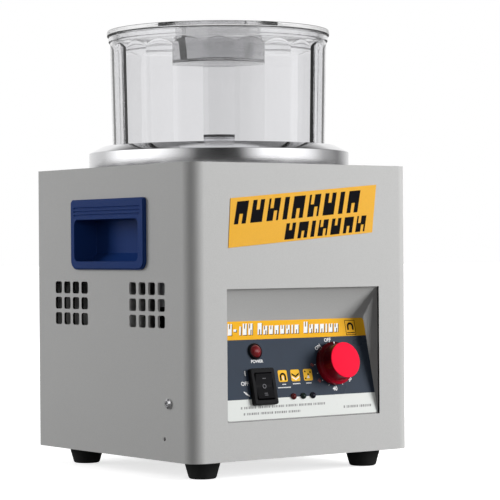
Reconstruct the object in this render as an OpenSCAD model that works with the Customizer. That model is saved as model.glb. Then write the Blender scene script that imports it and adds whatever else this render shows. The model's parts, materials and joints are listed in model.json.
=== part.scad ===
// Bench magnetic pin tumbler: sheet cabinet, clear faceted bowl, magnet disc drive.
// Units are millimetres. +Z is up and the control side faces -Y.
// The origin is on the floor, under the middle of the cabinet's footprint.

/* [Cabinet] */
// Width of the cabinet across the front
cabinet_w = 230; // [228:1:246]
// Depth of the cabinet, front to back
cabinet_d = 236; // [235:1:250]
// Height of the cabinet without its feet
cabinet_h = 243; // [243:1:262]
// Thickness of the folded sheet
sheet_t = 2; // [1.6:0.1:2.2]
// Outside radius of the two bent front corners
bend_r = 13; // [8:1:15]
// Height of the rubber feet
foot_h = 15; // [10:1:22]
// Radius of a foot where it meets the base
foot_r = 15; // [13:0.5:17]

/* [Controls] */
// Width of the control opening in the front
recess_w = 160; // [150:1:166]
// Height of the control opening
recess_h = 108.3; // [106:0.1:114]
// Height of the opening's lower edge above the cabinet's underside
recess_z = 31.7; // [26:0.1:36]
// Lean of the control panel from upright, in degrees
panel_tilt = 13.2; // [10:0.1:15]
// Length of the control panel up its slope
panel_len = 83.9; // [82:0.1:88]
// Radius of the timer knob's flange
knob_r = 18.3; // [16:0.1:18.5]
// Height of the timer knob
knob_h = 17.4; // [13:0.1:20]
// Radius of the power lamp's bezel
lamp_r = 6.9; // [6.5:0.1:8]

/* [Handles and vents] */
// Length of a handle's bezel
handle_l = 114; // [112:0.5:120]
// Height of a handle's bezel
handle_h = 60; // [58:0.5:64]
// Depth of a handle's pocket
pocket_d = 22; // [18:1:28]
// Side of one square vent
vent_cell = 10.4; // [7:0.1:11]
// Rows of vents in each grid
vent_rows = 3; // [1:1:3]
// Columns of vents in each grid
vent_cols = 4; // [1:1:4]

/* [Bowl] */
// Outside radius of the collar ring
collar_r = 113.5; // [111:0.5:113.5]
// Height of the collar ring
collar_h = 19.5; // [15:0.5:24]
// Outside radius of the bowl under its rim
bowl_r = 94.8; // [94:0.1:95.4]
// Height of the bowl
bowl_h = 113.6; // [100:0.1:130]
// Number of flats around the inside of the bowl
flat_count = 22; // [12:2:30]
// Outward lean of the bowl's wall, in degrees
bowl_draft = 1.15; // [0.8:0.05:1.3]
// Depth of the finger well in the lid
well_d = 26; // [18:1:30]

/* [Drive] */
// Radius of the magnet disc
disc_r = 80; // [76:1:82]
// Number of magnets on the disc
magnet_count = 12; // [6:2:12]
// Radius of the motor's end bells
motor_r = 55; // [54:0.5:58]

/* [Hidden] */
$fn = 96;
half_w = cabinet_w / 2;
half_d = cabinet_d / 2;
floor_z = foot_h + sheet_t;
top_z = foot_h + cabinet_h;
mech_y = 3;
// Radial play of shafts that turn in holes
run = 0.05;
// Play around parts that only pass through a hole
play = 0.3;

open_z = foot_h + recess_z;
recess_back = -half_d + sheet_t;
overlay_t = 0.4;
overlay_s0 = 0.8;
panel_t = 1.5;
knob_x = 38.5;
knob_s = 44.2;
knob_z = 1;
lamp_x = -41.5;
lamp_s = 57.6;
rocker_x = -39.4;
rocker_s = 27.7;
dome_pitch = 10.2;
dome_x = 1.9;
dome_s = 18.4;

handle_y = 3;
handle_z = foot_h + 186;
bezel_t = 3.3;
handle_wall = 2.5;
pocket_l = handle_l - 15;
pocket_h = handle_h - 24.4;
pocket_x = -1;
pocket_y = -5.2;
vent_y = 4.95;
vent_span = 58.65;
vent_z = foot_h + 126.95;
vent_pitch_x = 14.1;
vent_pitch_z = 13.5;
screw_y = -84.8;
screw_z = foot_h + 47.3;
spare_y = -78.5;
spare_z = foot_h + 18.2;

deck_t = 1.5;
bore_r = bowl_r - 0.9;
bowl_z = top_z + deck_t + 0.2;
bowl_top = bowl_z + bowl_h;
bowl_wall = 2;
// Turn of the loose bowl on its seat, in degrees
bowl_turn = 4.4;
lip_h = 4.9;
arch_h = 5.6;
lid_r = bowl_r + 2.6;
lid_z = bowl_top + 0.3;
lid_t = 4.6;
well_r = 36;

stud_xy = 75;
plate_z = top_z - 46;
plate_t = 4;
stator_z = plate_z - 54;
stator_h = 34;
shaft_r = 5;
bearing_r = 9;
bell_t = 6;
disc_z = top_z - 20;
magnet_h = 10;
fan_x = 52;
fan_z = foot_h + 135;
fan_w = 80;
fan_t = 25;
fan_y = half_d - sheet_t - fan_t;
inlet_x = -62;
inlet_z = foot_h + 46;
foot_x = half_w - 30.2;
foot_y = half_d - 29.2;

paint = [0.74, 0.75, 0.76];
steel = [0.7, 0.71, 0.73];
black = [0.06, 0.06, 0.07];
blue = [0.05, 0.12, 0.32];
clear = [0.85, 0.9, 0.95, 0.35];

// ---- shared shapes ----

module rrect(w, h, r) {
    square([w - 2 * r, h], center = true);
    square([w, h - 2 * r], center = true);
    for (x = [-1, 1], y = [-1, 1])
        translate([x * (w / 2 - r), y * (h / 2 - r)])
            circle(r);
}

module rplate(w, h, t, r) {
    linear_extrude(t)
        rrect(w, h, r);
}

module tube(h, r, bore) {
    difference() {
        cylinder(h = h, r = r);
        translate([0, 0, -1])
            cylinder(h = h + 2, r = bore);
    }
}

// Square plan with the two front corners rounded
module plan(w, r) {
    translate([-w / 2, -half_d + r])
        square([w, cabinet_d - r]);
    translate([-w / 2 + r, -half_d])
        square([w - 2 * r, half_d]);
    for (s = [-1, 1])
        translate([s * (w / 2 - r), -half_d + r])
            circle(r);
}

// Plan of a plate that fits inside the wrap and the back panel
module inner_plan() {
    intersection() {
        translate([0, sheet_t])
            plan(cabinet_w - 2 * sheet_t, bend_r - sheet_t);
        translate([-half_w, -half_d])
            square([cabinet_w, cabinet_d - sheet_t]);
    }
}

// Places children on the cabinet's faces: local X along, Y up, Z outward
module left_face(y, z) {
    translate([-half_w, y, z])
        rotate([90, 0, -90])
            children();
}

module right_face(y, z) {
    translate([half_w, y, z])
        rotate([90, 0, 90])
            children();
}

module both_faces(y, z) {
    left_face(y, z)
        children();
    right_face(y, z)
        children();
}

module back_face(x, z) {
    translate([x, half_d, z])
        rotate([90, 0, 180])
            children();
}

// Places children on the sloped panel: X across, Y up the slope, Z out of it
module on_panel(x, s, h = 0) {
    translate([0, recess_back, open_z])
        rotate([90 - panel_tilt, 0, 0])
            translate([x, s, h])
                children();
}

module at_mech(z) {
    translate([0, mech_y, z])
        children();
}

module at_studs(z) {
    for (x = [-1, 1], y = [-1, 1])
        translate([x * stud_xy, mech_y + y * stud_xy, z])
            children();
}

module at_feet(z) {
    for (x = [-1, 1], y = [-1, 1])
        translate([x * foot_x, y * foot_y, z])
            children();
}

// Pan head screw, head on +Z from 0
module pan_screw(r, head_h, shank_r, shank_l) {
    difference() {
        union() {
            cylinder(h = head_h * 0.5, r = r);
            translate([0, 0, head_h * 0.5])
                cylinder(h = head_h * 0.5, r1 = r, r2 = r * 0.62);
            translate([0, 0, -shank_l])
                cylinder(h = shank_l, r = shank_r);
        }
        for (a = [0, 90])
            rotate([0, 0, a])
                translate([0, 0, head_h])
                    cube([r * 1.1, r * 0.24, head_h * 1.1], center = true);
    }
}

// ---- cabinet ----

module vent_grid(t) {
    for (i = [0 : vent_cols - 1], j = [0 : vent_rows - 1])
        translate([
            (i - (vent_cols - 1) / 2) * vent_pitch_x,
            (j - (vent_rows - 1) / 2) * vent_pitch_z,
            -t / 2
        ])
            rplate(vent_cell, vent_cell, t, 2.2);
}

module housing_wrap() {
    color(paint)
        difference() {
            translate([0, 0, foot_h])
                linear_extrude(cabinet_h)
                    difference() {
                        plan(cabinet_w, bend_r);
                        translate([0, sheet_t])
                            plan(cabinet_w - 2 * sheet_t, bend_r - sheet_t);
                    }
            translate([0, -half_d, open_z + recess_h / 2])
                cube([recess_w, 4 * sheet_t, recess_h], center = true);
            for (s = [-1, 1])
                both_faces(vent_y + s * vent_span, vent_z)
                    vent_grid(4 * sheet_t);
            both_faces(handle_y, handle_z)
                translate([pocket_x, pocket_y, -2 * sheet_t])
                    rplate(
                        pocket_l + 2 * handle_wall + play,
                        pocket_h + 2 * handle_wall + play,
                        4 * sheet_t, 7.5 + play / 2
                    );
            both_faces(screw_y, screw_z)
                cylinder(h = 4 * sheet_t, r = 2.1, center = true);
            both_faces(spare_y, spare_z)
                cylinder(h = 4 * sheet_t, r = 1.6, center = true);
        }
}

module top_plate() {
    color(paint)
        difference() {
            union() {
                translate([0, 0, top_z - sheet_t])
                    linear_extrude(sheet_t)
                        inner_plan();
                translate([-half_w + 12, half_d - 2 * sheet_t, top_z - 16])
                    cube([cabinet_w - 24, sheet_t, 15]);
            }
            at_mech(top_z - 2 * sheet_t)
                cylinder(h = 4 * sheet_t, r = bore_r - 6);
            at_studs(top_z - 2 * sheet_t)
                cylinder(h = 4 * sheet_t, r = 2.2);
            back_screw_holes();
        }
}

module base_plate() {
    color(steel)
        difference() {
            union() {
                translate([0, 0, foot_h])
                    linear_extrude(sheet_t)
                        inner_plan();
                translate([-half_w + 12, half_d - 2 * sheet_t, foot_h + 1])
                    cube([cabinet_w - 24, sheet_t, 15]);
                for (s = [-1, 1])
                    translate([s * (half_w - 1.5 * sheet_t), screw_y, foot_h + 30])
                        cube([sheet_t, 24, 58], center = true);
            }
            at_feet(foot_h - 1)
                cylinder(h = 3 * sheet_t, r = 2.2);
            both_faces(screw_y, screw_z)
                cylinder(h = 6 * sheet_t, r = 2.1, center = true);
            back_screw_holes();
            for (x = [-1, 1], y = [-2 : 2])
                translate([x * 40, y * 14, foot_h - 1])
                    rplate(46, 5, 3 * sheet_t, 2.4);
        }
}

module at_back_screws() {
    for (x = [-1, 0, 1], z = [foot_h + 9, top_z - 9])
        back_face(x * (half_w - 22), z)
            children();
}

module back_screw_holes() {
    at_back_screws()
        cylinder(h = 6 * sheet_t, r = 1.85, center = true);
}

module back_panel() {
    color(paint)
        difference() {
            translate([-half_w + sheet_t, half_d - sheet_t, foot_h])
                cube([cabinet_w - 2 * sheet_t, sheet_t, cabinet_h]);
            back_screw_holes();
            back_face(fan_x, fan_z) {
                cylinder(h = 4 * sheet_t, r = fan_w / 2 - 2, center = true);
                for (x = [-1, 1], y = [-1, 1])
                    translate([x * 35.7, y * 35.7, 0])
                        cylinder(h = 4 * sheet_t, r = 2.1, center = true);
            }
            back_face(inlet_x, inlet_z)
                cube([28, 48.4, 4 * sheet_t], center = true);
            for (s = [-1, 1])
                back_face(s * 78, foot_h + 205)
                    vent_grid(4 * sheet_t);
        }
}

// Profile points of the recess in depth and height, seen from the side
recess_a = [recess_back, open_z];
recess_b = [
    recess_back + panel_len * sin(panel_tilt),
    open_z + panel_len * cos(panel_tilt)
];
recess_c = [recess_back, open_z + recess_h];
// Rise that keeps the panel's back face at the sheet's thickness
panel_lift = panel_t * (1.1 * cos(panel_tilt) - 1) / sin(panel_tilt);

// Extrudes a depth and height profile across the width
module across(w) {
    rotate([90, 0, 90])
        linear_extrude(w, center = true)
            children();
}

module control_recess() {
    color(paint)
        difference() {
            union() {
                across(recess_w + 2 * panel_t)
                    polygon([
                        recess_a, recess_b, recess_c,
                        recess_c + [panel_t * 0.8, panel_t],
                        recess_b + [panel_t * 1.1, panel_lift],
                        recess_a + [panel_t / cos(panel_tilt), 0]
                    ]);
                for (s = [-1, 1])
                    translate([s * (recess_w + panel_t) / 2, 0, 0])
                        across(panel_t)
                            polygon([recess_a, recess_b, recess_c]);
                translate([0, recess_back + panel_t / 2, open_z + recess_h / 2])
                    difference() {
                        cube([recess_w + 16, panel_t, recess_h + 12], center = true);
                        cube([recess_w + panel_t, 2 * panel_t, recess_h], center = true);
                    }
            }
            panel_holes(2 * panel_t);
        }
}

module panel_holes(t) {
    on_panel(lamp_x, lamp_s)
        cylinder(h = 2 * t, r = 5.1, center = true);
    on_panel(knob_x, knob_s)
        cylinder(h = 2 * t, r = 5.2, center = true);
    on_panel(rocker_x, rocker_s)
        cube([21.4, 27.4, 2 * t], center = true);
    at_domes()
        cylinder(h = 2 * t, r = 2.5, center = true);
}

module at_domes() {
    for (i = [-1 : 1])
        on_panel(dome_x + i * dome_pitch, dome_s)
            children();
}

module panel_overlay() {
    w = recess_w - 1;
    h = panel_len - overlay_s0 - 0.6;
    color([0.2, 0.23, 0.27])
        difference() {
            on_panel(0, overlay_s0 + h / 2)
                rplate(w, h, overlay_t, 3);
            panel_holes(2 * panel_t);
        }
}

module front_label() {
    color([0.95, 0.7, 0.1])
        translate([0, -half_d, foot_h])
            rotate([90, 0, 0])
                linear_extrude(overlay_t)
                    polygon([
                        [-78.4, 173.4], [72.9, 186],
                        [77.7, 226.7], [-75.9, 213.8]
                    ]);
}

// Outline of the bezel: small radii at the top, large ones at the bottom
module bezel_plan(inset) {
    w = handle_l - 2 * inset;
    h = handle_h - 2 * inset;
    rrect(w, h, 8 - inset);
    translate([0, h / 4])
        rrect(w, h / 2, 3.2 - inset);
}

module pocket_handle() {
    color(blue)
        difference() {
            union() {
                linear_extrude(bezel_t - 1)
                    bezel_plan(0);
                linear_extrude(bezel_t)
                    bezel_plan(1);
                translate([pocket_x, pocket_y, -pocket_d])
                    rplate(
                        pocket_l + 2 * handle_wall, pocket_h + 2 * handle_wall,
                        pocket_d + 1, 7.5
                    );
            }
            translate([pocket_x, pocket_y, handle_wall - pocket_d])
                difference() {
                    rplate(pocket_l, pocket_h, pocket_d + bezel_t, 5);
                    translate([0, -pocket_h / 2, 0])
                        rotate([45, 0, 0])
                            cube([pocket_l + 2, 10, 10], center = true);
                }
            for (g = [0 : 2])
                translate([0, handle_h / 2 - 7.6 - g * 3, bezel_t])
                    cube([handle_l - 12, 1.2, 1.4], center = true);
            translate([0, handle_h / 2, bezel_t])
                cube([6, 1.6, 2], center = true);
        }
}

module handle_left() {
    left_face(handle_y, handle_z)
        pocket_handle();
}

module handle_right() {
    right_face(handle_y, handle_z)
        pocket_handle();
}

// ---- bowl, lid and collar ----

module collar_ring() {
    color(steel)
        difference() {
            at_mech(top_z)
                rotate_extrude()
                    polygon([
                        [bore_r, 0], [collar_r, 0], [collar_r, collar_h - 6],
                        [collar_r - 11.5, collar_h], [bore_r + 1, collar_h],
                        [bore_r, collar_h - 1]
                    ]);
            at_studs(top_z - 1)
                cylinder(h = 11, r = 2.1);
        }
}

module deck_plate() {
    color(black)
        at_mech(top_z)
            cylinder(h = deck_t, r = bore_r - 0.4);
}

// Radius of the bowl's wall at a height above its underside
function wall_r(z) = bowl_r - (bowl_h - lip_h - z) * tan(bowl_draft);

// Thickening that makes one flat inside the bowl and ends it in an arch
module flat_pad() {
    flat_top = bowl_h - 13.3;
    narrow = cos(180 / flat_count) - 0.0012;
    low_r = (wall_r(2) - bowl_wall) * narrow;
    high_r = (wall_r(flat_top) - bowl_wall) * narrow;
    arch_d = wall_r(flat_top + arch_h) - bowl_wall - high_r;
    rotate([90, 0, 0])
        linear_extrude(60, center = true)
            polygon([
                [low_r, 2], [high_r, flat_top],
                [high_r + 2 * arch_d, flat_top + 2 * arch_h],
                [bowl_r + 20, flat_top + 2 * arch_h], [bowl_r + 20, 2]
            ]);
}

module bowl() {
    hub_h = 28;
    color(clear)
        at_mech(bowl_z)
            difference() {
                union() {
                    difference() {
                        union() {
                            cylinder(h = bowl_h - lip_h, r1 = wall_r(0), r2 = bowl_r);
                            translate([0, 0, bowl_h - lip_h])
                                cylinder(h = lip_h, r = bowl_r + 1.2);
                        }
                        difference() {
                            translate([0, 0, 3])
                                cylinder(
                                    h = bowl_h, r1 = wall_r(3) - bowl_wall,
                                    r2 = wall_r(bowl_h + 3) - bowl_wall
                                );
                            for (i = [0 : flat_count - 1])
                                rotate([0, 0, bowl_turn + i * 360 / flat_count])
                                    flat_pad();
                        }
                    }
                    cylinder(h = hub_h, r1 = 18, r2 = 14.5);
                }
                translate([0, 0, -1])
                    cylinder(h = hub_h - 2, r1 = 15.5, r2 = 12);
            }
}

module lid() {
    plug_r = bowl_r - bowl_wall - 0.8;
    skin = 2.5;
    color(clear)
        at_mech(lid_z) {
            rotate_extrude()
                polygon([
                    [0, lid_t - well_d - skin], [well_r + 0.5, lid_t - well_d - skin],
                    [well_r + skin, lid_t - skin], [plug_r - skin, lid_t - skin],
                    [plug_r - skin, -7], [plug_r, -7], [plug_r, 0], [lid_r, 0],
                    [lid_r, lid_t - 0.5], [lid_r - 0.5, lid_t], [well_r, lid_t],
                    [well_r - 2, lid_t - well_d], [0, lid_t - well_d]
                ]);
            intersection() {
                translate([0, 0, lid_t - well_d / 2 - 1])
                    cube([2 * well_r, 6, well_d - 2], center = true);
                translate([0, 0, lid_t - well_d - 1])
                    cylinder(h = well_d, r1 = well_r - 1.9, r2 = well_r + 0.1);
            }
        }
}

// ---- controls ----

module lamp_bezel() {
    color(black)
        on_panel(lamp_x, lamp_s)
            difference() {
                union() {
                    translate([0, 0, overlay_t])
                        cylinder(h = 1, r = lamp_r);
                    translate([0, 0, overlay_t + 1])
                        cylinder(h = 1, r1 = lamp_r, r2 = lamp_r - 0.7);
                    translate([0, 0, -18])
                        cylinder(h = 18 + overlay_t, r = 5);
                }
                translate([0, 0, -12])
                    cylinder(h = 20, r = 4.1);
                translate([0, 0, 1.2])
                    cylinder(h = 2, r = 5.5);
            }
}

module lamp_lens() {
    dome_r = 6.8;
    color([0.55, 0.05, 0.05])
        on_panel(lamp_x, lamp_s, 1.25) {
            cylinder(h = 1.2, r = 5.4);
            intersection() {
                translate([0, 0, 1.2 - sqrt(dome_r * dome_r - 5.4 * 5.4)])
                    sphere(dome_r);
                translate([0, 0, 1.2])
                    cylinder(h = 4, r = 5.4);
            }
            translate([0, 0, -12])
                cylinder(h = 12, r = 4);
        }
}

// Height of the rocker's pivot above the panel, and the reach of its ends
pivot_h = 1.6;
paddle_r = 11.1;

module rocker_frame() {
    color(black)
        on_panel(rocker_x, rocker_s)
            difference() {
                union() {
                    translate([0, 0, overlay_t])
                        rplate(24.6, 30.6, 3.6, 2);
                    translate([0, 0, overlay_t + 3.6])
                        rplate(23.4, 29.4, 0.6, 1.6);
                    translate([0, 0, -12])
                        cube([21, 27, 25], center = true);
                    for (x = [-6, 0, 6], y = [-8, 0, 8])
                        translate([x, y, -27])
                            cube([0.8, 5, 8], center = true);
                }
                translate([0, 0, pivot_h + 5])
                    cube([17.6, 23, 10], center = true);
                translate([0, 0, pivot_h])
                    rotate([0, 90, 0])
                        cylinder(h = 17.6, r = 11.5, center = true);
                translate([0, 0, pivot_h])
                    rotate([0, 90, 0])
                        cylinder(h = 19.4, r = 1.2 + run, center = true);
            }
}

module rocker_paddle() {
    color(black)
        on_panel(rocker_x, rocker_s, pivot_h) {
            intersection() {
                rotate([0, 90, 0])
                    cylinder(h = 17, r = paddle_r, center = true);
                across(17)
                    polygon([
                        [-paddle_r, -5], [paddle_r, -5], [paddle_r, 4.4],
                        [1.2, 2.3], [-1.2, 2.3], [-paddle_r, 4.4]
                    ]);
            }
            rotate([0, 90, 0])
                cylinder(h = 19, r = 1.2, center = true);
        }
}

module timer_body() {
    color([0.8, 0.8, 0.76])
        on_panel(knob_x, knob_s)
            difference() {
                union() {
                    translate([0, 0, -panel_t - 32])
                        rplate(42, 42, 32, 4);
                    translate([0, 0, -panel_t])
                        cylinder(h = panel_t + 5, r = 5);
                }
                translate([0, 0, -20])
                    cylinder(h = 40, r = 3 + run);
            }
}

module timer_nut() {
    color(steel)
        on_panel(knob_x, knob_s, overlay_t)
            difference() {
                cylinder(h = 2, r = 8, $fn = 6);
                translate([0, 0, -1])
                    cylinder(h = 4, r = 5.02);
            }
}

module timer_shaft() {
    color(steel)
        on_panel(knob_x, knob_s, -19)
            cylinder(h = 31, r = 3);
}

module timer_knob() {
    grip_r = knob_r - 2.9;
    color([0.85, 0.05, 0.12])
        on_panel(knob_x, knob_s, knob_z)
            difference() {
                rotate_extrude()
                    polygon([
                        [0, 5], [9.5, 5], [9.5, 0], [knob_r, 0], [knob_r, 4.4],
                        [knob_r - 0.6, 5.1], [grip_r + 0.3, 5.6],
                        [grip_r, knob_h - 0.5], [grip_r - 0.5, knob_h], [0, knob_h]
                    ]);
                translate([0, 0, 4])
                    cylinder(h = 7.6, r = 3.02);
            }
}

module indicator_domes() {
    color([0.5, 0.1, 0.1])
        at_domes() {
            intersection() {
                translate([0, 0, overlay_t - 0.2])
                    sphere(2.8);
                translate([0, 0, overlay_t])
                    cylinder(h = 4, r = 3);
            }
            translate([0, 0, -6])
                cylinder(h = 6 + overlay_t, r = 2.4);
        }
}

// ---- drive ----

module motor_plate() {
    color(steel)
        difference() {
            at_mech(plate_z)
                rplate(168, 168, plate_t, 6);
            at_mech(plate_z - 1)
                cylinder(h = plate_t + 2, r = 12);
            at_studs(plate_z - 1)
                cylinder(h = plate_t + 2, r = 2.2);
        }
}

module plate_spacers() {
    color(steel)
        at_studs(plate_z + plate_t)
            tube(top_z - sheet_t - plate_z - plate_t, 6, 2.2);
}

module collar_studs() {
    color(steel)
        at_studs(plate_z - 8)
            cylinder(h = top_z - plate_z + 17, r = 2);
}

module stud_nuts() {
    color(steel)
        at_studs(plate_z - 4)
            difference() {
                cylinder(h = 4, r = 4.6, $fn = 6);
                translate([0, 0, -1])
                    cylinder(h = 6, r = 2.03);
            }
}

module motor_bells() {
    cup = stator_h / 2 + 13;
    color([0.62, 0.63, 0.65])
        at_mech(stator_z + stator_h / 2)
            for (m = [0, 1])
                mirror([0, 0, m])
                    translate([0, 0, 1])
                        difference() {
                            cylinder(h = cup + bell_t, r = motor_r);
                            translate([0, 0, -1])
                                cylinder(h = cup + 1, r = motor_r - 2.9);
                            translate([0, 0, cup - 1])
                                cylinder(h = bell_t + 2, r = bearing_r + 0.02);
                            for (a = [0 : 45 : 315])
                                rotate([0, 0, a])
                                    translate([motor_r - 22, 0, cup - 1])
                                        cylinder(h = bell_t + 2, r = 5);
                        }
}

module stator_core() {
    color([0.35, 0.36, 0.38])
        at_mech(stator_z)
            tube(stator_h, motor_r - 3, 31);
}

module stator_windings() {
    color([0.72, 0.4, 0.2])
        for (z = [stator_z - 10, stator_z + stator_h])
            at_mech(z)
                tube(10, 48, 34);
}

module rotor_core() {
    color([0.5, 0.5, 0.52])
        at_mech(stator_z)
            tube(stator_h, 30.5, shaft_r + 0.02);
}

module motor_shaft() {
    z = stator_z - 25;
    color(steel)
        at_mech(z)
            cylinder(h = disc_z + 3 - z, r = shaft_r);
}

module motor_bearings() {
    cup = stator_h / 2 + 14;
    color(steel)
        for (z = [-cup - bell_t, cup])
            at_mech(stator_z + stator_h / 2 + z)
                tube(bell_t, bearing_r, shaft_r + run);
}

module magnet_disc() {
    color([0.75, 0.76, 0.78])
        difference() {
            union() {
                at_mech(disc_z)
                    cylinder(h = 4, r = disc_r);
                at_mech(disc_z - 14)
                    cylinder(h = 15, r = 14);
            }
            at_mech(disc_z - 15)
                cylinder(h = 18.02, r = shaft_r + 0.02);
        }
}

module magnets(first) {
    at_mech(disc_z + 4)
        for (i = [first : 2 : magnet_count - 1])
            rotate([0, 0, i * 360 / magnet_count])
                translate([disc_r - 17, 0, 0])
                    cylinder(h = magnet_h, r = 11);
}

module magnets_north() {
    color([0.8, 0.2, 0.2])
        magnets(0);
}

module magnets_south() {
    color([0.2, 0.3, 0.8])
        magnets(1);
}

// ---- cooling and supply ----

// Places children on the fan's axis: Z points out of the back
module at_fan(y) {
    translate([fan_x, y, fan_z])
        rotate([90, 0, 180])
            children();
}

module fan_frame() {
    color(black)
        at_fan(fan_y)
            difference() {
                union() {
                    difference() {
                        rplate(fan_w, fan_w, fan_t, 5);
                        translate([0, 0, -1])
                            cylinder(h = fan_t + 2, r = fan_w / 2 - 2);
                    }
                    cylinder(h = 3, r = 17);
                    for (a = [45 : 90 : 315])
                        rotate([0, 0, a])
                            translate([fan_w / 4, 0, 1.5])
                                cube([fan_w / 2, 4, 3], center = true);
                }
                translate([0, 0, -1])
                    cylinder(h = 6, r = 2 + run);
                for (x = [-1, 1], y = [-1, 1])
                    translate([x * 35.7, y * 35.7, -1])
                        cylinder(h = fan_t + 2, r = 2.1);
            }
}

module fan_impeller() {
    color([0.1, 0.1, 0.11])
        at_fan(fan_y) {
            translate([0, 0, 4])
                cylinder(h = 18, r = 17);
            translate([0, 0, 0.5])
                cylinder(h = 4, r = 2);
            for (a = [0 : 360 / 7 : 359])
                rotate([0, 0, a])
                    translate([26, 0, 13])
                        rotate([38, 0, 0])
                            cube([20, 1.4, 20], center = true);
        }
}

module fan_guard() {
    reach = 35.7 * sqrt(2);
    color(steel)
        at_fan(half_d) {
            for (r = [10 : 9 : 37])
                translate([0, 0, 2.2])
                    rotate_extrude()
                        translate([r, 0])
                            circle(0.9);
            for (a = [45 : 90 : 315])
                rotate([0, 0, a]) {
                    translate([reach / 2 - 1.5, 0, 1])
                        cube([reach - 3, 2, 2], center = true);
                    translate([reach, 0, 0])
                        tube(2, 4, 2.2);
                }
        }
}

module run_capacitor() {
    color([0.8, 0.8, 0.78])
        translate([-62, 46, floor_z]) {
            cylinder(h = 58, r = 17);
            for (s = [-1, 1])
                translate([s * 6, 0, 62])
                    cube([0.8, 6, 8], center = true);
        }
}

module capacitor_clip() {
    color(steel)
        translate([-62, 46, floor_z]) {
            translate([0, 0, 20])
                tube(12, 18.3, 17.02);
            translate([-4, 18, 0])
                cube([8, 1.4, 30]);
        }
}

module terminal_block() {
    color([0.85, 0.85, 0.82])
        translate([50, 20, floor_z])
            difference() {
                translate([-30, -10, 0])
                    cube([60, 20, 16]);
                for (i = [-2 : 2]) {
                    translate([i * 11.5, 0, 6])
                        cube([8, 12, 22], center = true);
                    translate([i * 11.5, 0, 10])
                        rotate([90, 0, 0])
                            cylinder(h = 30, r = 2.4, center = true);
                }
            }
}

// Round wire that runs through a list of points, with a sleeve at each bend
module wire_run(points, r) {
    for (i = [1 : len(points) - 1]) {
        a = points[i - 1];
        d = points[i] - a;
        translate(a)
            rotate([0, acos(d[2] / norm(d)), atan2(d[1], d[0])])
                cylinder(h = norm(d), r = r);
    }
    for (i = [1 : len(points) - 2])
        translate(points[i])
            sphere(r + 0.6);
}

module inner_wires() {
    color([0.15, 0.15, 0.16])
        for (i = [-1 : 1]) {
            wire_run([
                [50 + i * 11.5, 7, floor_z + 10], [50 + i * 11.5, -40 - i * 6, floor_z + 10],
                [rocker_x + i * 6, -40 - i * 6, floor_z + 10],
                [rocker_x + i * 6, -76, open_z + 16]
            ], 1.6);
            wire_run([
                [50 + i * 11.5, 33, floor_z + 10], [50 + i * 11.5, 75 - i * 6, floor_z + 10],
                [inlet_x - i * 6, 75 - i * 6, floor_z + 10], [inlet_x - i * 6, 84, inlet_z - 8]
            ], 1.6);
        }
}

module inlet_socket() {
    color(black)
        back_face(inlet_x, inlet_z)
            difference() {
                union() {
                    rplate(34, 56, 3, 4);
                    translate([0, 0, -14])
                        cube([27, 47.4, 28], center = true);
                }
                translate([0, 9, -10])
                    rplate(24.6, 16.8, 14, 2);
                translate([0, -14.5, -9])
                    cube([22.6, 11.2, 30], center = true);
            }
}

module inlet_pins() {
    color(steel)
        back_face(inlet_x, inlet_z)
            for (i = [-1 : 1])
                translate([i * 7, 9 + (i == 0 ? 2 : -2), -4.5])
                    cube([2, 4, 11], center = true);
}

module fuse_drawer() {
    color(black)
        back_face(inlet_x, inlet_z)
            translate([0, -14.5, 0])
                difference() {
                    union() {
                        translate([0, 0, -9])
                            cube([22, 10.6, 28], center = true);
                        translate([0, 0, 4.3])
                            cube([24.6, 13.2, 2], center = true);
                    }
                    translate([0, 1.6, -10])
                        cube([21, 8, 22], center = true);
                    translate([0, -5.6, 5.2])
                        cube([10, 2, 3], center = true);
                }
}

module fuse_link() {
    color([0.8, 0.8, 0.82])
        back_face(inlet_x, inlet_z)
            translate([0, -13.6, -10])
                rotate([0, 90, 0])
                    cylinder(h = 20, r = 2.6, center = true);
}

// ---- feet and fixings ----

module rubber_feet() {
    color(black)
        at_feet(0)
            difference() {
                rotate_extrude()
                    polygon([
                        [0, 0], [foot_r - 4.6, 0], [foot_r - 3.5, 1],
                        [foot_r, foot_h - 1.5], [foot_r, foot_h], [0, foot_h]
                    ]);
                translate([0, 0, -1])
                    cylinder(h = foot_h + 2, r = 2.3);
                translate([0, 0, -1])
                    cylinder(h = 8, r = 5);
            }
}

module foot_screws() {
    color(steel)
        at_feet(7)
            rotate([180, 0, 0])
                pan_screw(4.4, 2.6, 2, foot_h + sheet_t - 3);
}

module side_screws() {
    color(steel)
        both_faces(screw_y, screw_z)
            pan_screw(4.3, 2.4, 2, 2 * sheet_t + 3);
}

module back_screws() {
    color(steel) {
        at_back_screws()
            pan_screw(3.6, 2.2, 1.8, 2 * sheet_t + 3);
        back_face(fan_x, fan_z)
            for (x = [-1, 1], y = [-1, 1])
                translate([x * 35.7, y * 35.7, 2])
                    pan_screw(3.6, 2.2, 2, sheet_t + 8);
    }
}

housing_wrap();
top_plate();
base_plate();
back_panel();
control_recess();
panel_overlay();
front_label();
handle_left();
handle_right();
collar_ring();
deck_plate();
bowl();
lid();
lamp_bezel();
lamp_lens();
rocker_frame();
rocker_paddle();
timer_body();
timer_shaft();
timer_knob();
timer_nut();
indicator_domes();
motor_plate();
plate_spacers();
collar_studs();
stud_nuts();
motor_bells();
stator_core();
stator_windings();
rotor_core();
motor_shaft();
motor_bearings();
magnet_disc();
magnets_north();
magnets_south();
fan_frame();
fan_impeller();
fan_guard();
run_capacitor();
capacitor_clip();
terminal_block();
inner_wires();
inlet_socket();
inlet_pins();
fuse_drawer();
fuse_link();
rubber_feet();
foot_screws();
side_screws();
back_screws();
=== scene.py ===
"""Looks of a bench magnetic pin tumbler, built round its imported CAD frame.

Lengths are metres. +Z is up and the control side faces -Y.
"""

import json
import math

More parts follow.
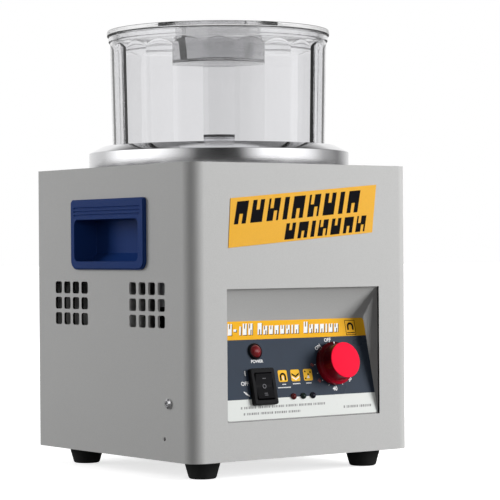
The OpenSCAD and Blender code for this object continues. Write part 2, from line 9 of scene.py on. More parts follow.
import bmesh
import bpy
from bpy.props import FloatProperty, FloatVectorProperty, IntProperty, PointerProperty
from bpy.types import Operator, Panel, PropertyGroup
from mathutils import Matrix, Vector


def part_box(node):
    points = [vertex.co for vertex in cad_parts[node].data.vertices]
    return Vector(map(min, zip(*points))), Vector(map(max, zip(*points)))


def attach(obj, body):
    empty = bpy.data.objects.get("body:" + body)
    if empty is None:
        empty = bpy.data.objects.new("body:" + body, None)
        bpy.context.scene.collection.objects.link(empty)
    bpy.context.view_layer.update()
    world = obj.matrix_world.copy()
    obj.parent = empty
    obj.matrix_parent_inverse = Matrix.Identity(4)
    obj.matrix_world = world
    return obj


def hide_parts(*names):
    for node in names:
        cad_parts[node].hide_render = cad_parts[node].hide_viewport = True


bl_info = {
    "name": "Pin Tumbler Looks",
    "version": (1, 0, 0),
    "blender": (4, 5, 0),
    "location": "3D View > Sidebar > Tumbler",
    "description": "Dresses the packed tumbler with its materials, prints and fine detail",
    "category": "Object",
}

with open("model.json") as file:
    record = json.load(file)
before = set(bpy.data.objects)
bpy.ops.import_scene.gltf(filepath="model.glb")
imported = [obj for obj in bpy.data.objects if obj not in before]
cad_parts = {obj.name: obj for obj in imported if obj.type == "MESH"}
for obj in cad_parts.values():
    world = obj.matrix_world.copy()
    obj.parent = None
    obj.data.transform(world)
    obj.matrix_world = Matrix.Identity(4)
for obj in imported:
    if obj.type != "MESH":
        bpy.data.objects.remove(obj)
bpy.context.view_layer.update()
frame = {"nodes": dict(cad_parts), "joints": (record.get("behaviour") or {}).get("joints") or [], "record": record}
NODES = frame["nodes"]
RECORD = frame["record"]
BODY_OF = {n: b for b, names in RECORD["behaviour"]["bodies"].items() for n in names}
MM = 0.001
TAU = 2 * math.pi


def joint(name):
    """One joint of the record by its name."""
    return next(j for j in frame["joints"] if j["name"] == name)


def middle(node):
    """Middle of a CAD node's box."""
    low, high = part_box(node)
    return (low + high) / 2


# Slope of the control panel: X across it, up its slope, and out of it
PANEL_OUT = Vector(joint("timer_turn")["axis"]).normalized()
PANEL_UP = Vector((0, PANEL_OUT.z, -PANEL_OUT.y))
DIAL = Vector(joint("timer_turn")["pos_m"])
AXIS = Vector((0, middle("collar_ring").y, 0))
BOWL_LOW, BOWL_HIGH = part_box("bowl")
# Turn of the loose bowl on its seat
BOWL_TURN = math.radians(5.4)
# Radius of the collar ring's bore
RING_BORE = 93.9 * MM

# Height of the dial's centre up the panel, and thickness of its film, in millimetres
DIAL_UP = 44.2
FILM = 0.4
# Middle of the rocker's paddle from the dial's centre, in millimetres
PADDLE_X, PADDLE_UP = -39.4, 27.7 - DIAL_UP
# Share of its angle round the dial by which a figure is turned
FIGURE_TURN = 0.8
# Where the panel's silver foot ends and its amber head starts, up from the dial's centre
FOOT_TOP, HEAD_LOW = -26.2 * MM, 23.5 * MM


def panel_matrix(point):
    """Matrix that lays local XY on the control panel at a point."""
    turn = Matrix((Vector((1, 0, 0)), PANEL_UP, PANEL_OUT)).transposed()
    return Matrix.Translation(point) @ turn.to_4x4()


def on_panel(x, up, out=0.0):
    """Point at x across, and up and out from the dial's centre, in millimetres."""
    base = Vector((x * MM, DIAL.y, DIAL.z))
    return base + PANEL_UP * (up * MM) + PANEL_OUT * (out * MM)


# Level directions of the main view: into it, and to its right
VIEW_TURN = math.radians(36.5)
VIEW_AHEAD = Vector((math.sin(VIEW_TURN), math.cos(VIEW_TURN), 0))
VIEW_ASIDE = Vector((math.cos(VIEW_TURN), -math.sin(VIEW_TURN), 0))

# Main camera: place, lens in millimetres, and its small tilts
CAMERA_PLACE = (-1.09344, -1.51945, 0.18454)
CAMERA_LENS = 153.84
CAMERA_PITCH, CAMERA_ROLL = math.radians(0.07), math.radians(-0.42)

# Studio: grey of its fill light, strength of its ring in gloss, and its floor
AMBIENT = 0.12
GLOSS_GAIN = 1.7
FLOOR_RADIUS = 30.0

# Grey of the studio round the viewer, from behind the object by its left and back:
# 0 and 1 are behind the object, 0.25 is its left and 0.5 is the viewer's own side
GLOSS_RING = (
    (0.0, 0.6), (0.06, 0.5), (0.17, 0.4), (0.24, 0.95), (0.31, 1.0), (0.37, 0.75),
    (0.45, 0.06), (0.5, 0.015), (0.55, 0.03), (0.61, 0.85), (0.68, 1.0), (0.74, 0.75),
    (0.79, 0.3), (0.86, 0.14), (0.92, 0.4), (1.0, 0.6),
)
GLOSS_ROOF = (
    (0.0, 0.06), (0.62, 0.14), (0.8, 0.2), (0.88, 0.02), (0.93, 0.03), (0.965, 0.7), (1.0, 1.0),
)
THROUGH_RING = (
    (0.0, 0.88), (0.012, 0.92), (0.03, 1.0), (0.06, 1.0), (0.17, 0.82), (0.24, 0.6), (0.3, 0.44),
    (0.7, 0.44), (0.76, 0.6), (0.83, 0.76), (0.94, 1.0), (0.97, 1.0), (0.988, 0.92), (1.0, 0.88),
)
THROUGH_ROOF = (
    (0.0, 0.8), (0.5, 0.75), (0.6, 0.45), (0.68, 0.22), (0.77, 0.22), (0.81, 0.9), (1.0, 0.9),
)


# ---------------------------------------------------------------- shader tools


def node_in(tree, kind, inputs=None, **settings):
    """Adds a node, sets its properties and fills or links its inputs."""
    node = tree.nodes.new(kind)
    for key, value in settings.items():
        setattr(node, key, value)
    for key, value in (inputs or {}).items():
        if isinstance(value, bpy.types.NodeSocket):
            tree.links.new(value, node.inputs[key])
        else:
            node.inputs[key].default_value = value
    return node


def calc(tree, operation, a, b=0.0, c=None):
    """Math node; returns its value socket."""
    inputs = {0: a, 1: b}
    if c is not None:
        inputs[2] = c
    return node_in(tree, "ShaderNodeMath", inputs, operation=operation).outputs[0]


def vector_calc(tree, operation, a, b=(0, 0, 0)):
    """Vector Math node; returns it, as the answer is a vector or a value."""
    return node_in(tree, "ShaderNodeVectorMath", {0: a, 1: b}, operation=operation)


def along(tree, vector, axis):
    """Length of a vector socket along a fixed axis."""
    return vector_calc(tree, "DOT_PRODUCT", vector, tuple(axis)).outputs["Value"]


def blend_colour(tree, factor, a, b):
    """Mix of two colours, each a socket or three numbers; returns its colour socket."""
    a, b = (c if isinstance(c, bpy.types.NodeSocket) else (*c, 1) for c in (a, b))
    return node_in(tree, "ShaderNodeMix", {0: factor, 6: a, 7: b}, data_type="RGBA").outputs[2]


def remap(tree, value, low, high, to_low, to_high):
    """Clamped linear remap of a value."""
    inputs = {"Value": value, 1: low, 2: high, 3: to_low, 4: to_high}
    return node_in(tree, "ShaderNodeMapRange", inputs).outputs[0]


def grey_ramp(tree, value, stops):
    """Colour ramp of greys at given places; returns its colour socket."""
    ramp = node_in(tree, "ShaderNodeValToRGB", {0: value})
    elements = ramp.color_ramp.elements
    while len(elements) < len(stops):
        elements.new(0.5)
    for element, (place, grey) in zip(elements, stops):
        element.position = place
        element.color = (grey, grey, grey, 1)
    return ramp.outputs[0]


def noise(tree, vector, scale, detail):
    """Noise texture; returns its value socket."""
    inputs = {"Vector": vector, "Scale": scale, "Detail": detail}
    return node_in(tree, "ShaderNodeTexNoise", inputs).outputs[0]


def object_point(tree):
    """Shaded point in the object's own coordinates."""
    return node_in(tree, "ShaderNodeTexCoord").outputs["Object"]


def from_dial(tree, *axes):
    """Distances of the shaded point from the dial's centre along each axis."""
    offset = vector_calc(tree, "SUBTRACT", object_point(tree), tuple(DIAL)).outputs[0]
    return [along(tree, offset, axis) for axis in axes]


def scaled(tone, share):
    """Colour times a share."""
    return tuple(c * share for c in tone)


def new_group(name, inputs, outputs):
    """Empty shader node group with named sockets; returns it with its end nodes."""
    group = bpy.data.node_groups.new(name, "ShaderNodeTree")
    sockets = group.interface
    for label, default in inputs:
        socket = sockets.new_socket(label, in_out="INPUT", socket_type="NodeSocketFloat")
        socket.default_value = default
    for label in outputs:
        sockets.new_socket(label, in_out="OUTPUT", socket_type="NodeSocketFloat")
    return group, group.nodes.new("NodeGroupInput"), group.nodes.new("NodeGroupOutput")


def grain_group():
    """Fine orange-peel grain with a slow mottle, for paint and moulded plastic."""
    group, start, end = new_group(
        "Surface Grain", [("Grain Scale", 1500.0), ("Mottle Scale", 18.0)],
        ["Height", "Mottle", "Speckle"],
    )
    place = object_point(group)
    fine = noise(group, place, start.outputs["Grain Scale"], 2.0)
    cell_scale = calc(group, "MULTIPLY", start.outputs["Grain Scale"], 0.7)
    cells = node_in(group, "ShaderNodeTexVoronoi", {"Vector": place, "Scale": cell_scale})
    slow = noise(group, place, start.outputs["Mottle Scale"], 3.0)
    height = calc(group, "MULTIPLY_ADD", cells.outputs[0], 0.6, fine)
    group.links.new(height, end.inputs["Height"])
    group.links.new(slow, end.inputs["Mottle"])
    group.links.new(remap(group, fine, 0.42, 0.62, 0, 1), end.inputs["Speckle"])
    return group


def lathe_group():
    """Fine turning lines round a vertical axis, and hazy sectors between them."""
    group, start, end = new_group(
        "Turning Marks", [("Line Scale", 900.0), ("Centre Y", 0.0)], ["Height", "Haze"]
    )
    place = object_point(group)
    x, y, z = node_in(group, "ShaderNodeSeparateXYZ", {0: place}).outputs
    y = calc(group, "SUBTRACT", y, start.outputs["Centre Y"])
    squares = calc(
        group, "ADD", calc(group, "MULTIPLY", x, x), calc(group, "MULTIPLY", y, y)
    )
    inputs = {0: calc(group, "SQRT", squares), 1: z, 2: calc(group, "MULTIPLY", y, 0.02)}
    line = node_in(group, "ShaderNodeCombineXYZ", inputs).outputs[0]
    group.links.new(noise(group, line, start.outputs["Line Scale"], 3.0), end.inputs["Height"])
    group.links.new(noise(group, place, 60.0, 4.0), end.inputs["Haze"])
    return group


def use_group(tree, key, **values):
    """Places a shared node group with its own values; returns its outputs."""
    node = node_in(tree, "ShaderNodeGroup", node_tree=GROUPS[key])
    for label, value in values.items():
        node.inputs[label.replace("_", " ")].default_value = value
    return node.outputs


def new_material(name, **constants):
    """Material with a Principled BSDF whose plain values are set on its sockets."""
    material = bpy.data.materials.new(name)
    material.use_nodes = True
    shader = material.node_tree.nodes["Principled BSDF"]
    for key, value in constants.items():
        shader.inputs[key.replace("_", " ")].default_value = value
    return material, material.node_tree, shader


def bump(tree, shader, height, strength, distance):
    """Drives the shader's normal from a height."""
    inputs = {"Strength": strength, "Distance": distance, "Height": height}
    node = node_in(tree, "ShaderNodeBump", inputs)
    tree.links.new(node.outputs[0], shader.inputs["Normal"])


def surface(tree, shader, tone, uneven, gloss, span=(0.3, 0.7)):
    """Links the colour, and a roughness between two values that follows an uneven one."""
    tree.links.new(tone, shader.inputs["Base Color"])
    tree.links.new(remap(tree, uneven, *span, *gloss), shader.inputs["Roughness"])


def coated(name, pale, dark, rough, grain=1500.0, depth=0.00004, strength=0.35, **more):
    """Paint or plastic: two close tones, fine grain and uneven gloss."""
    material, tree, shader = new_material(name, **more)
    marks = use_group(tree, "grain", Grain_Scale=grain)
    tone = blend_colour(tree, marks["Mottle"], dark, pale)
    speckle = calc(tree, "MULTIPLY", marks["Speckle"], 0.35)
    tone = blend_colour(tree, speckle, tone, scaled(pale, 0.86))
    surface(tree, shader, tone, marks["Mottle"], (rough - 0.04, rough + 0.05))
    bump(tree, shader, marks["Height"], strength, depth)
    return material


def plated(name, pale, dark, rough, grain=700.0, strength=0.2):
    """Bare or plated metal with a slow stain and a fine tooth."""
    material, tree, shader = new_material(name, Metallic=1.0)
    marks = use_group(tree, "grain", Grain_Scale=grain, Mottle_Scale=45.0)
    tone = blend_colour(tree, marks["Mottle"], dark, pale)
    surface(tree, shader, tone, marks["Mottle"], (rough - 0.05, rough + 0.08))
    bump(tree, shader, marks["Height"], strength, 0.00002)
    return material


def turned(name, pale, dark, rough, scale, strength):
    """Metal turned on a lathe about the bowl's axis."""
    material, tree, shader = new_material(name, Metallic=1.0)
    marks = use_group(tree, "lathe", Line_Scale=scale, Centre_Y=AXIS.y)
    tone = blend_colour(tree, marks["Haze"], dark, pale)
    surface(tree, shader, tone, marks["Haze"], (rough - 0.03, rough + 0.04))
    bump(tree, shader, marks["Height"], strength, 0.00003)
    return material


def clear_plastic(name, tint, haze, ripple, streak=(130.0, 130.0, 9.0), facets=0):
    """Clear moulded plastic: slight tint, flow ripples and, on the bowl, flats darkened at random as painted
    shade.
    """
    material, tree, shader = new_material(name, Transmission_Weight=1.0, IOR=1.46)
    place = object_point(tree)
    mottle = use_group(tree, "grain", Grain_Scale=60.0, Mottle_Scale=22.0)["Mottle"]
    tone = blend_colour(tree, mottle, scaled(tint, 0.95), tint)
    # Painted shade: some flats are darkened at random, standing in for the flats' differing reflections and
    # refraction
    if facets:
        x, y, _ = node_in(tree, "ShaderNodeSeparateXYZ", {0: place}).outputs
        angle = calc(tree, "ARCTAN2", calc(tree, "SUBTRACT", y, AXIS.y), x)
        flat = calc(tree, "FLOOR", calc(tree, "MULTIPLY", angle, facets / TAU))
        chance = node_in(
            tree, "ShaderNodeTexWhiteNoise", {"W": flat}, noise_dimensions="1D"
        ).outputs["Value"]
        tone = blend_colour(tree, calc(tree, "MULTIPLY", chance, 0.45), tone, scaled(tint, 0.72))
    stretched = node_in(tree, "ShaderNodeMapping", {"Vector": place, "Scale": streak}).outputs[0]
    flow = noise(tree, stretched, 1.0, 2.0)
    surface(tree, shader, tone, flow, (haze, haze + 0.03), (0.35, 0.7))
    bump(tree, shader, flow, ripple, 0.0004)
    return material


def tinted_lens(name, deep, bright, coat=0.6):
    """Coloured lens: two tones in a slow mottle, under a coat."""
    material, tree, shader = new_material(
        name, IOR=1.5, Coat_Weight=coat, Coat_Roughness=0.03, Roughness=0.16
    )
    mottle = use_group(tree, "grain", Grain_Scale=900.0, Mottle_Scale=160.0)["Mottle"]
    tree.links.new(blend_colour(tree, mottle, deep, bright), shader.inputs["Base Color"])
    bump(tree, shader, mottle, 0.25, 0.0004)
    return material


def knob_plastic():
    """Gloss red: bright face, and a deep red grip that is painted shade, with a painted reflection low on its
    round side.
    """
    material, tree, shader = new_material(
        "Red Gloss", Specular_IOR_Level=0.06, Coat_Roughness=0.12
    )
    out, up = from_dial(tree, PANEL_OUT, PANEL_UP)
    face = remap(tree, out, 17.7 * MM, 18.2 * MM, 0, 1)
    tree.links.new(remap(tree, face, 0, 1, 0.14, 0), shader.inputs["Coat Weight"])
    # Painted reflection: the grip grows redder from the dial's centre down toward its foot
    low = remap(tree, up, 2 * MM, -16 * MM, 0, 0.8)
    red = settings().colours.knob
    marks = use_group(tree, "grain", Grain_Scale=900.0)
    bright = blend_colour(tree, marks["Mottle"], scaled(red, 0.9), red)
    # Painted shade: the grip is a near-black red, far darker than the knob's own red face
    deep = blend_colour(tree, low, (0.055, 0.001, 0.003), (0.42, 0.006, 0.022))
    surface(tree, shader, blend_colour(tree, face, deep, bright), marks["Mottle"], (0.2, 0.27))
    bump(tree, shader, marks["Height"], 0.1, 0.00001)
    return material


def banded_film():
    """Printed overlay: silver foot, slate middle and amber head, up the panel's slope."""
    material, tree, shader = new_material("Overlay Film", Specular_IOR_Level=0.2)
    (up,) = from_dial(tree, PANEL_UP)
    look = settings().colours
    marks = use_group(tree, "grain", Grain_Scale=2200.0, Mottle_Scale=30.0)
    tone = blend_colour(
        tree, marks["Mottle"], scaled(look.slate, 0.8), scaled(look.slate, 1.15)
    )
    tone = blend_colour(tree, calc(tree, "LESS_THAN", up, FOOT_TOP), tone, look.silver)
    tone = blend_colour(tree, calc(tree, "GREATER_THAN", up, HEAD_LOW), tone, look.amber)
    surface(tree, shader, tone, marks["Mottle"], (0.26, 0.36))
    bump(tree, shader, marks["Height"], 0.12, 0.00002)
    return material


def striped_metal(name, pale, dark, pitch, rough):
    """Stacked laminations or wound wire: fine lines up the Z axis."""
    material, tree, shader = new_material(name, Metallic=1.0)
    z = node_in(tree, "ShaderNodeSeparateXYZ", {0: object_point(tree)}).outputs[2]
    stripes = remap(tree, calc(tree, "SINE", calc(tree, "MULTIPLY", z, TAU / pitch)), -1, 1, 0, 1)
    tone = blend_colour(tree, stripes, dark, pale)
    surface(tree, shader, tone, stripes, (rough + 0.1, rough), (0, 1))
    bump(tree, shader, stripes, 0.4, pitch * 0.3)
    return material


GROUPS = {}
FINISH = {}


def make_finishes():
    """Builds the shared node groups, then every material once."""
    look = settings().colours
    GROUPS.update(grain=grain_group(), lathe=lathe_group())
    paint = tuple(look.paint)
    FINISH.update(
        paint=coated("Powder Coat", paint, scaled(paint, 0.95), 0.46, 1300.0, 0.00006, 0.8),
        # Painted shade: the recess is the cabinet's paint made darker, standing in for the shade inside it
        recess=coated("Recess Painted Shade", scaled(paint, 0.72), scaled(paint, 0.68), 0.5,
                      1300.0, 0.00006, 0.6, Specular_IOR_Level=0.3),
        # Painted shade: the hidden inner side of the sheet is made near black so the vents read dark
        inner=coated("Inner Painted Shade", (0.012, 0.012, 0.012), (0.008, 0.008, 0.008), 0.6,
                     Specular_IOR_Level=0.1),
        handle=coated("Navy Plastic", tuple(look.navy), scaled(look.navy, 0.8), 0.34,
                      1800.0, 0.00003, 0.3, Specular_IOR_Level=0.1),
        amber=coated("Label Film", tuple(look.amber), scaled(look.amber, 0.93), 0.34,
                     1500.0, 0.00001, 0.1, Coat_Weight=0.2),
        black=coated("Black Plastic", (0.009, 0.009, 0.01), (0.006, 0.006, 0.007), 0.36,
                     2200.0, 0.00003, 0.25, Specular_IOR_Level=0.12),
        gloss_black=coated("Gloss Black", (0.006, 0.006, 0.007), (0.004, 0.004, 0.005), 0.34,
                           2600.0, 0.00001, 0.1, Specular_IOR_Level=0.12),
        rubber=coated("Foot Rubber", (0.016, 0.016, 0.016), (0.009, 0.009, 0.009), 0.66,
                      900.0, 0.00006, 0.5),
        pale=coated("Pale Moulding", (0.7, 0.69, 0.63), (0.6, 0.59, 0.54), 0.45),
        # Painted shade: the deck is near black so the inside seen through the vents reads dark
        deck=coated("Deck Painted Shade", (0.035, 0.036, 0.04), (0.025, 0.026, 0.03), 0.3),
        ink=coated("Dark Ink", (0.006, 0.006, 0.008), (0.004, 0.004, 0.005), 0.55,
                   Specular_IOR_Level=0.06),
        mark=coated("Mark Grey", (0.16, 0.16, 0.17), (0.11, 0.11, 0.12), 0.5),
        white_ink=coated("White Ink", (0.86, 0.86, 0.86), (0.78, 0.78, 0.78), 0.4),
        grey_ink=coated("Grey Ink", (0.3, 0.3, 0.3), (0.22, 0.22, 0.22), 0.45),
        amber_ink=coated("Amber Ink", (0.86, 0.5, 0.02), (0.8, 0.42, 0.015), 0.4),
        dim_ink=coated("Dim Red Figures", (0.3, 0.05, 0.03), (0.2, 0.03, 0.02), 0.4),
        steel=plated("Plated Steel", (0.72, 0.72, 0.73), (0.55, 0.56, 0.58), 0.28),
        bright=plated("Bright Screw Plate", (0.86, 0.86, 0.87), (0.7, 0.7, 0.72), 0.14),
        cast=plated("Cast Bell", (0.62, 0.63, 0.65), (0.48, 0.49, 0.51), 0.42, 420.0, 0.5),
        magnet=plated("Nickel Magnet", (0.78, 0.78, 0.8), (0.66, 0.66, 0.68), 0.16, 300.0, 0.1),
        collar=turned("Turned Collar", (0.86, 0.86, 0.87), (0.8, 0.8, 0.82), 0.06, 1500.0, 0.04),
        skirt=turned("Satin Collar Side", (0.85, 0.85, 0.86), (0.7, 0.7, 0.72), 0.17,
                     2600.0, 0.45),
        laminate=striped_metal("Laminations", (0.42, 0.43, 0.45), (0.2, 0.2, 0.22), 0.001, 0.4),
        winding=striped_metal("Winding", (0.8, 0.36, 0.16), (0.4, 0.14, 0.05), 0.0011, 0.3),
        clear=clear_plastic("Clear Bowl", (0.97, 0.97, 0.982), 0.01, 0.12, facets=22),
        lid=clear_plastic("Clear Lid", (0.975, 0.975, 0.98), 0.03, 0.1),
        frosted=clear_plastic("Frosted Well", (0.86, 0.86, 0.865), 0.16, 0.9, (20.0, 20.0, 420.0)),
        knob=knob_plastic(),
        film=banded_film(),
        lamp=tinted_lens("Lamp Lens", (0.045, 0.001, 0.002), (0.26, 0.012, 0.016)),
        red_dome=tinted_lens("Red Indicator", (0.03, 0.001, 0.001), (0.12, 0.003, 0.004), 0.15),
        green_dome=tinted_lens("Green Indicator", (0.001, 0.006, 0.005), (0.003, 0.02, 0.014),
                               0.15),
        blue_dome=tinted_lens("Blue Indicator", (0.001, 0.002, 0.006), (0.004, 0.005, 0.016),
                              0.15),
    )


# ------------------------------------------------------------------ mesh tools


def placed(name, data):
    """New object of some data, linked to the scene."""
    thing = bpy.data.objects.new(name, data)
    bpy.context.scene.collection.objects.link(thing)
    return thing


def put(name, mesh, node_names, finish, body=None):
    """Links a finished mesh, gives it a finish, and lets it ride and replace its nodes."""
    piece = placed(name, mesh)
    mesh.materials.clear()
    mesh.materials.append(FINISH[finish])
    first = node_names[0] if node_names else None
    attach(piece, body or BODY_OF[first])
    if node_names:
        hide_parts(*node_names)
    return piece


def mesh_of(name, build):
    """New mesh filled by a bmesh function."""
    mesh = bpy.data.meshes.new(name)
    work = bmesh.new()
    build(work)
    work.to_mesh(mesh)
    work.free()
    return mesh


def smooth(mesh, degrees):
    """Smooth shading with creases kept sharp."""
    mesh.shade_smooth()
    mesh.set_sharp_from_angle(angle=math.radians(degrees))
    return mesh


def second_finish(mesh, finish, chosen):
    """Gives the faces that a test picks a second finish."""
    mesh.materials.append(FINISH[finish])
    for face in mesh.polygons:
        if chosen(face):
            face.material_index = 1


def in_mm(points):
    """Points given in millimetres."""
    return [(a * MM, b * MM) for a, b in points]


def lathe(name, profile, sides, place, closed=True):
    """Turns (radius, height) points round local Z; a radius of zero closes a pole."""

    def build(work):
        rings = []
        for radius, height in profile:
            if radius < 1e-9:
                rings.append([work.verts.new((0, 0, height))])
                continue
            rings.append([
                work.verts.new((radius * math.cos(a), radius * math.sin(a), height))
                for a in (TAU * i / sides for i in range(sides))
            ])
        pairs = list(zip(rings, rings[1:]))
        if closed:
            pairs.append((rings[-1], rings[0]))
        for low, high in pairs:
            for i in range(sides):
                j = (i + 1) % sides
                ring = [low[i % len(low)], low[j % len(low)]]
                ring += [high[j % len(high)], high[i % len(high)]]
                face = list(dict.fromkeys(ring))
                if len(face) > 2:
                    work.faces.new(face)
        bmesh.ops.recalc_face_normals(work, faces=work.faces)
        work.transform(place)

    return mesh_of(name, build)


def rounded(profile, radius, steps=4):
    """Profile with each inner corner replaced by a small arc."""
    points = [Vector(p) for p in profile]
    out = []
    for i, corner in enumerate(points):
        if i in (0, len(points) - 1):
            out.append(tuple(corner))
            continue
        before, after = points[i - 1] - corner, points[i + 1] - corner
        reach = min(radius, before.length * 0.45, after.length * 0.45)
        start = corner + before.normalized() * reach
        end = corner + after.normalized() * reach
        for k in range(steps + 1):
            t = k / steps
            out.append(tuple(start * (1 - t) ** 2 + corner * 2 * t * (1 - t) + end * t * t))
    return out


def baked(piece):
    """Plain mesh of an object with its modifiers applied."""
    bpy.context.view_layer.update()
    graph = bpy.context.evaluated_depsgraph_get()
    return bpy.data.meshes.new_from_object(
        piece.evaluated_get(graph), preserve_all_data_layers=True, depsgraph=graph
    )


def combined(thing, tool, operation):
    """Mesh of an object after a boolean with another."""
    step = thing.modifiers.new("Boolean", "BOOLEAN")
    step.operation = operation
    step.object = tool
    mesh = baked(thing)
    thing.modifiers.clear()
    return mesh


def softened(node, finish, width=0.0, angle=35.0, segments=2):
    """Copy of a CAD node with merged faces and, given a width, rounded edges, in its place."""
    work = bmesh.new()
    work.from_mesh(NODES[node].data)
    bmesh.ops.remove_doubles(work, verts=work.verts, dist=1e-6)
    bmesh.ops.dissolve_limit(
        work, angle_limit=math.radians(0.6), verts=work.verts, edges=work.edges
    )
    mesh = bpy.data.meshes.new(node + "_soft")
    work.to_mesh(mesh)
    work.free()
    draft = placed(node + "_draft", smooth(mesh, angle))
    if width:
        edge = draft.modifiers.new("Edge", "BEVEL")
        edge.width = width
        edge.segments = segments
        edge.limit_method = "ANGLE"
        edge.angle_limit = math.radians(angle)
        edge.harden_normals = False
    even = draft.modifiers.new("Even", "WEIGHTED_NORMAL")
    even.keep_sharp = True
    even.weight = 80
    result = baked(draft)
    bpy.data.objects.remove(draft)
    result.name = node + "_look"
    return put(node + "_look", result, [node], finish)


def dress(**finishes):
    """Gives CAD nodes that stay as they are their finishes."""
    for node, finish in finishes.items():
        data = NODES[node].data
        data.materials.clear()
        data.materials.append(FINISH[finish])


# --------------------------------------------------------- geometry node tools


def copies_tree():
    """Geometry Nodes tree that sets copies of a piece on points and joins them."""
    tree = bpy.data.node_groups.new("Copies On Points", "GeometryNodeTree")
    sockets = tree.interface
    for label, kind in (
        ("Points", "Geometry"), ("Piece", "Object"), ("First Turn", "Vector"),
        ("Turn Per Copy", "Vector"), ("Weld Distance", "Float"), ("Finish", "Material"),
    ):
        sockets.new_socket(label, in_out="INPUT", socket_type="NodeSocket" + kind)
    sockets.new_socket("Copies", in_out="OUTPUT", socket_type="NodeSocketGeometry")
    start = tree.nodes.new("NodeGroupInput").outputs
    end = tree.nodes.new("NodeGroupOutput")
    index = tree.nodes.new("GeometryNodeInputIndex")
    steps = vector_calc(tree, "SCALE", start["Turn Per Copy"])
    tree.links.new(index.outputs[0], steps.inputs["Scale"])
    turn = vector_calc(tree, "ADD", steps.outputs[0], start["First Turn"])
    euler = node_in(tree, "FunctionNodeEulerToRotation", {0: turn.outputs[0]})
    piece = node_in(tree, "GeometryNodeObjectInfo", {"Object": start["Piece"]})
    inputs = {"Points": start["Points"], "Instance": piece.outputs["Geometry"],
              "Rotation": euler.outputs[0]}
    spread = node_in(tree, "GeometryNodeInstanceOnPoints", inputs)
    real = node_in(tree, "GeometryNodeRealizeInstances", {0: spread.outputs[0]})
    inputs = {"Geometry": real.outputs[0], "Distance": start["Weld Distance"]}
    joined = node_in(tree, "GeometryNodeMergeByDistance", inputs)
    inputs = {"Geometry": joined.outputs[0], "Material": start["Finish"]}
    finish = node_in(tree, "GeometryNodeSetMaterial", inputs)
    tree.links.new(finish.outputs[0], end.inputs[0])
    return tree


def copies(name, template, points, finish, first=(0, 0, 0), step=(0, 0, 0), weld=1e-6):
    """Mesh of a template repeated on points, made by the Copies On Points tree."""
    tree = bpy.data.node_groups.get("Copies On Points") or copies_tree()
    source = placed(name + "_source", template)
    cloud = mesh_of(name + "_points", lambda work: [work.verts.new(p) for p in points])
    holder = placed(name + "_points", cloud)
    spread = holder.modifiers.new("Copies", "NODES")
    spread.node_group = tree
    values = {"Piece": source, "First Turn": first, "Turn Per Copy": step,
              "Weld Distance": weld, "Finish": FINISH[finish]}
    for item in tree.interface.items_tree:
        if item.item_type == "SOCKET" and item.in_out == "INPUT" and item.name in values:
            spread[item.identifier] = values[item.name]
    holder.update_tag()
    mesh = baked(holder)
    mesh.name = name
    holder.modifiers.clear()
    for thing in (source, holder):
        bpy.data.objects.remove(thing)
    return mesh


def plate_mesh(name, outline, place, thick):
    """Flat plate with a straight edge, from an outline in millimetres."""

    def build(work):
        low = [work.verts.new((x * MM, y * MM, 0)) for x, y in outline]
        face = work.faces.new(low)
        top = bmesh.ops.extrude_face_region(work, geom=[face])
        verts = [v for v in top["geom"] if isinstance(v, bmesh.types.BMVert)]
        bmesh.ops.translate(work, verts=verts, vec=(0, 0, thick))
        bmesh.ops.recalc_face_normals(work, faces=work.faces)
        work.transform(place)

    return mesh_of(name, build)


def rect(left, low, right, high):
    """Outline of a rectangle."""
    return [(left, low), (right, low), (right, high), (left, high)]


def round_rect(w, h, r, steps=5):
    """Outline of a rounded rectangle about its middle."""
    out = []
    for cx, cy, start in ((1, 1, 0), (-1, 1, 90), (-1, -1, 180), (1, -1, 270)):
        for k in range(steps + 1):
            a = math.radians(start + 90 * k / steps)
            out.append((cx * (w / 2 - r) + r * math.cos(a), cy * (h / 2 - r) + r * math.sin(a)))
    return out


def circle(r, steps):
    """Outline of a circle."""
    return [(r * math.cos(TAU * k / steps), r * math.sin(TAU * k / steps)) for k in range(steps)]


def moved(outline, x, y, turn=0.0):
    """Outline turned by degrees, then moved."""
    c, s = math.cos(math.radians(turn)), math.sin(math.radians(turn))
    return [(x + c * a - s * b, y + s * a + c * b) for a, b in outline]


def band(r_in, r_out, start, end, steps=24):
    """Outline of a part of a ring, between two angles in degrees."""
    angles = [math.radians(start + (end - start) * k / steps) for k in range(steps + 1)]
    outer = [(r_out * math.cos(a), r_out * math.sin(a)) for a in angles]
    inner = [(r_in * math.cos(a), r_in * math.sin(a)) for a in reversed(angles)]
    return outer + inner


def printed(name, shapes, finish, place, lift_steps=1):
    """Thin ink: many outlines as one raised piece of closed plates."""
    lift = settings().sizes.print_lift
    low, high = lift * (lift_steps - 0.9), lift * lift_steps

    def build(work):
        for outline in shapes:
            bottom, top = (
                [work.verts.new((x * MM, y * MM, z)) for x, y in outline] for z in (low, high)
            )
            work.faces.new(bottom[::-1])
            work.faces.new(top)
            for i, vert in enumerate(bottom):
                work.faces.new((bottom[i - 1], vert, top[i], top[i - 1]))
        bmesh.ops.recalc_face_normals(work, faces=work.faces)
        bmesh.ops.triangulate(work, faces=work.faces)
        work.transform(place)

    return put(name, mesh_of(name, build), [], finish, "cabinet")


def lettering(name, words, finish, place):
    """Dial figures and switch words as flat meshes. Each word is (text, x, y, height, turn)."""
    lift = settings().sizes.print_lift
    meshes = []
    for text, x, y, height, turn in words:
        curve = bpy.data.curves.new(name + "_word", "FONT")
        curve.body = text
        curve.size = height * MM * 1.4
        curve.align_x = curve.align_y = "CENTER"
        curve.offset = height * MM * 0.03
        curve.extrude = lift * 0.45
        holder = placed(name + "_word", curve)
        mesh = baked(holder)
        bpy.data.objects.remove(holder)
        spin = Matrix.Rotation(math.radians(turn), 4, "Z")
        mesh.transform(Matrix.Translation((x * MM, y * MM, lift * 0.55)) @ spin)
        meshes.append(mesh)

    def build(work):
        for mesh in meshes:
            work.from_mesh(mesh)
        work.transform(place)

    return put(name, mesh_of(name, build), [], finish, "cabinet")


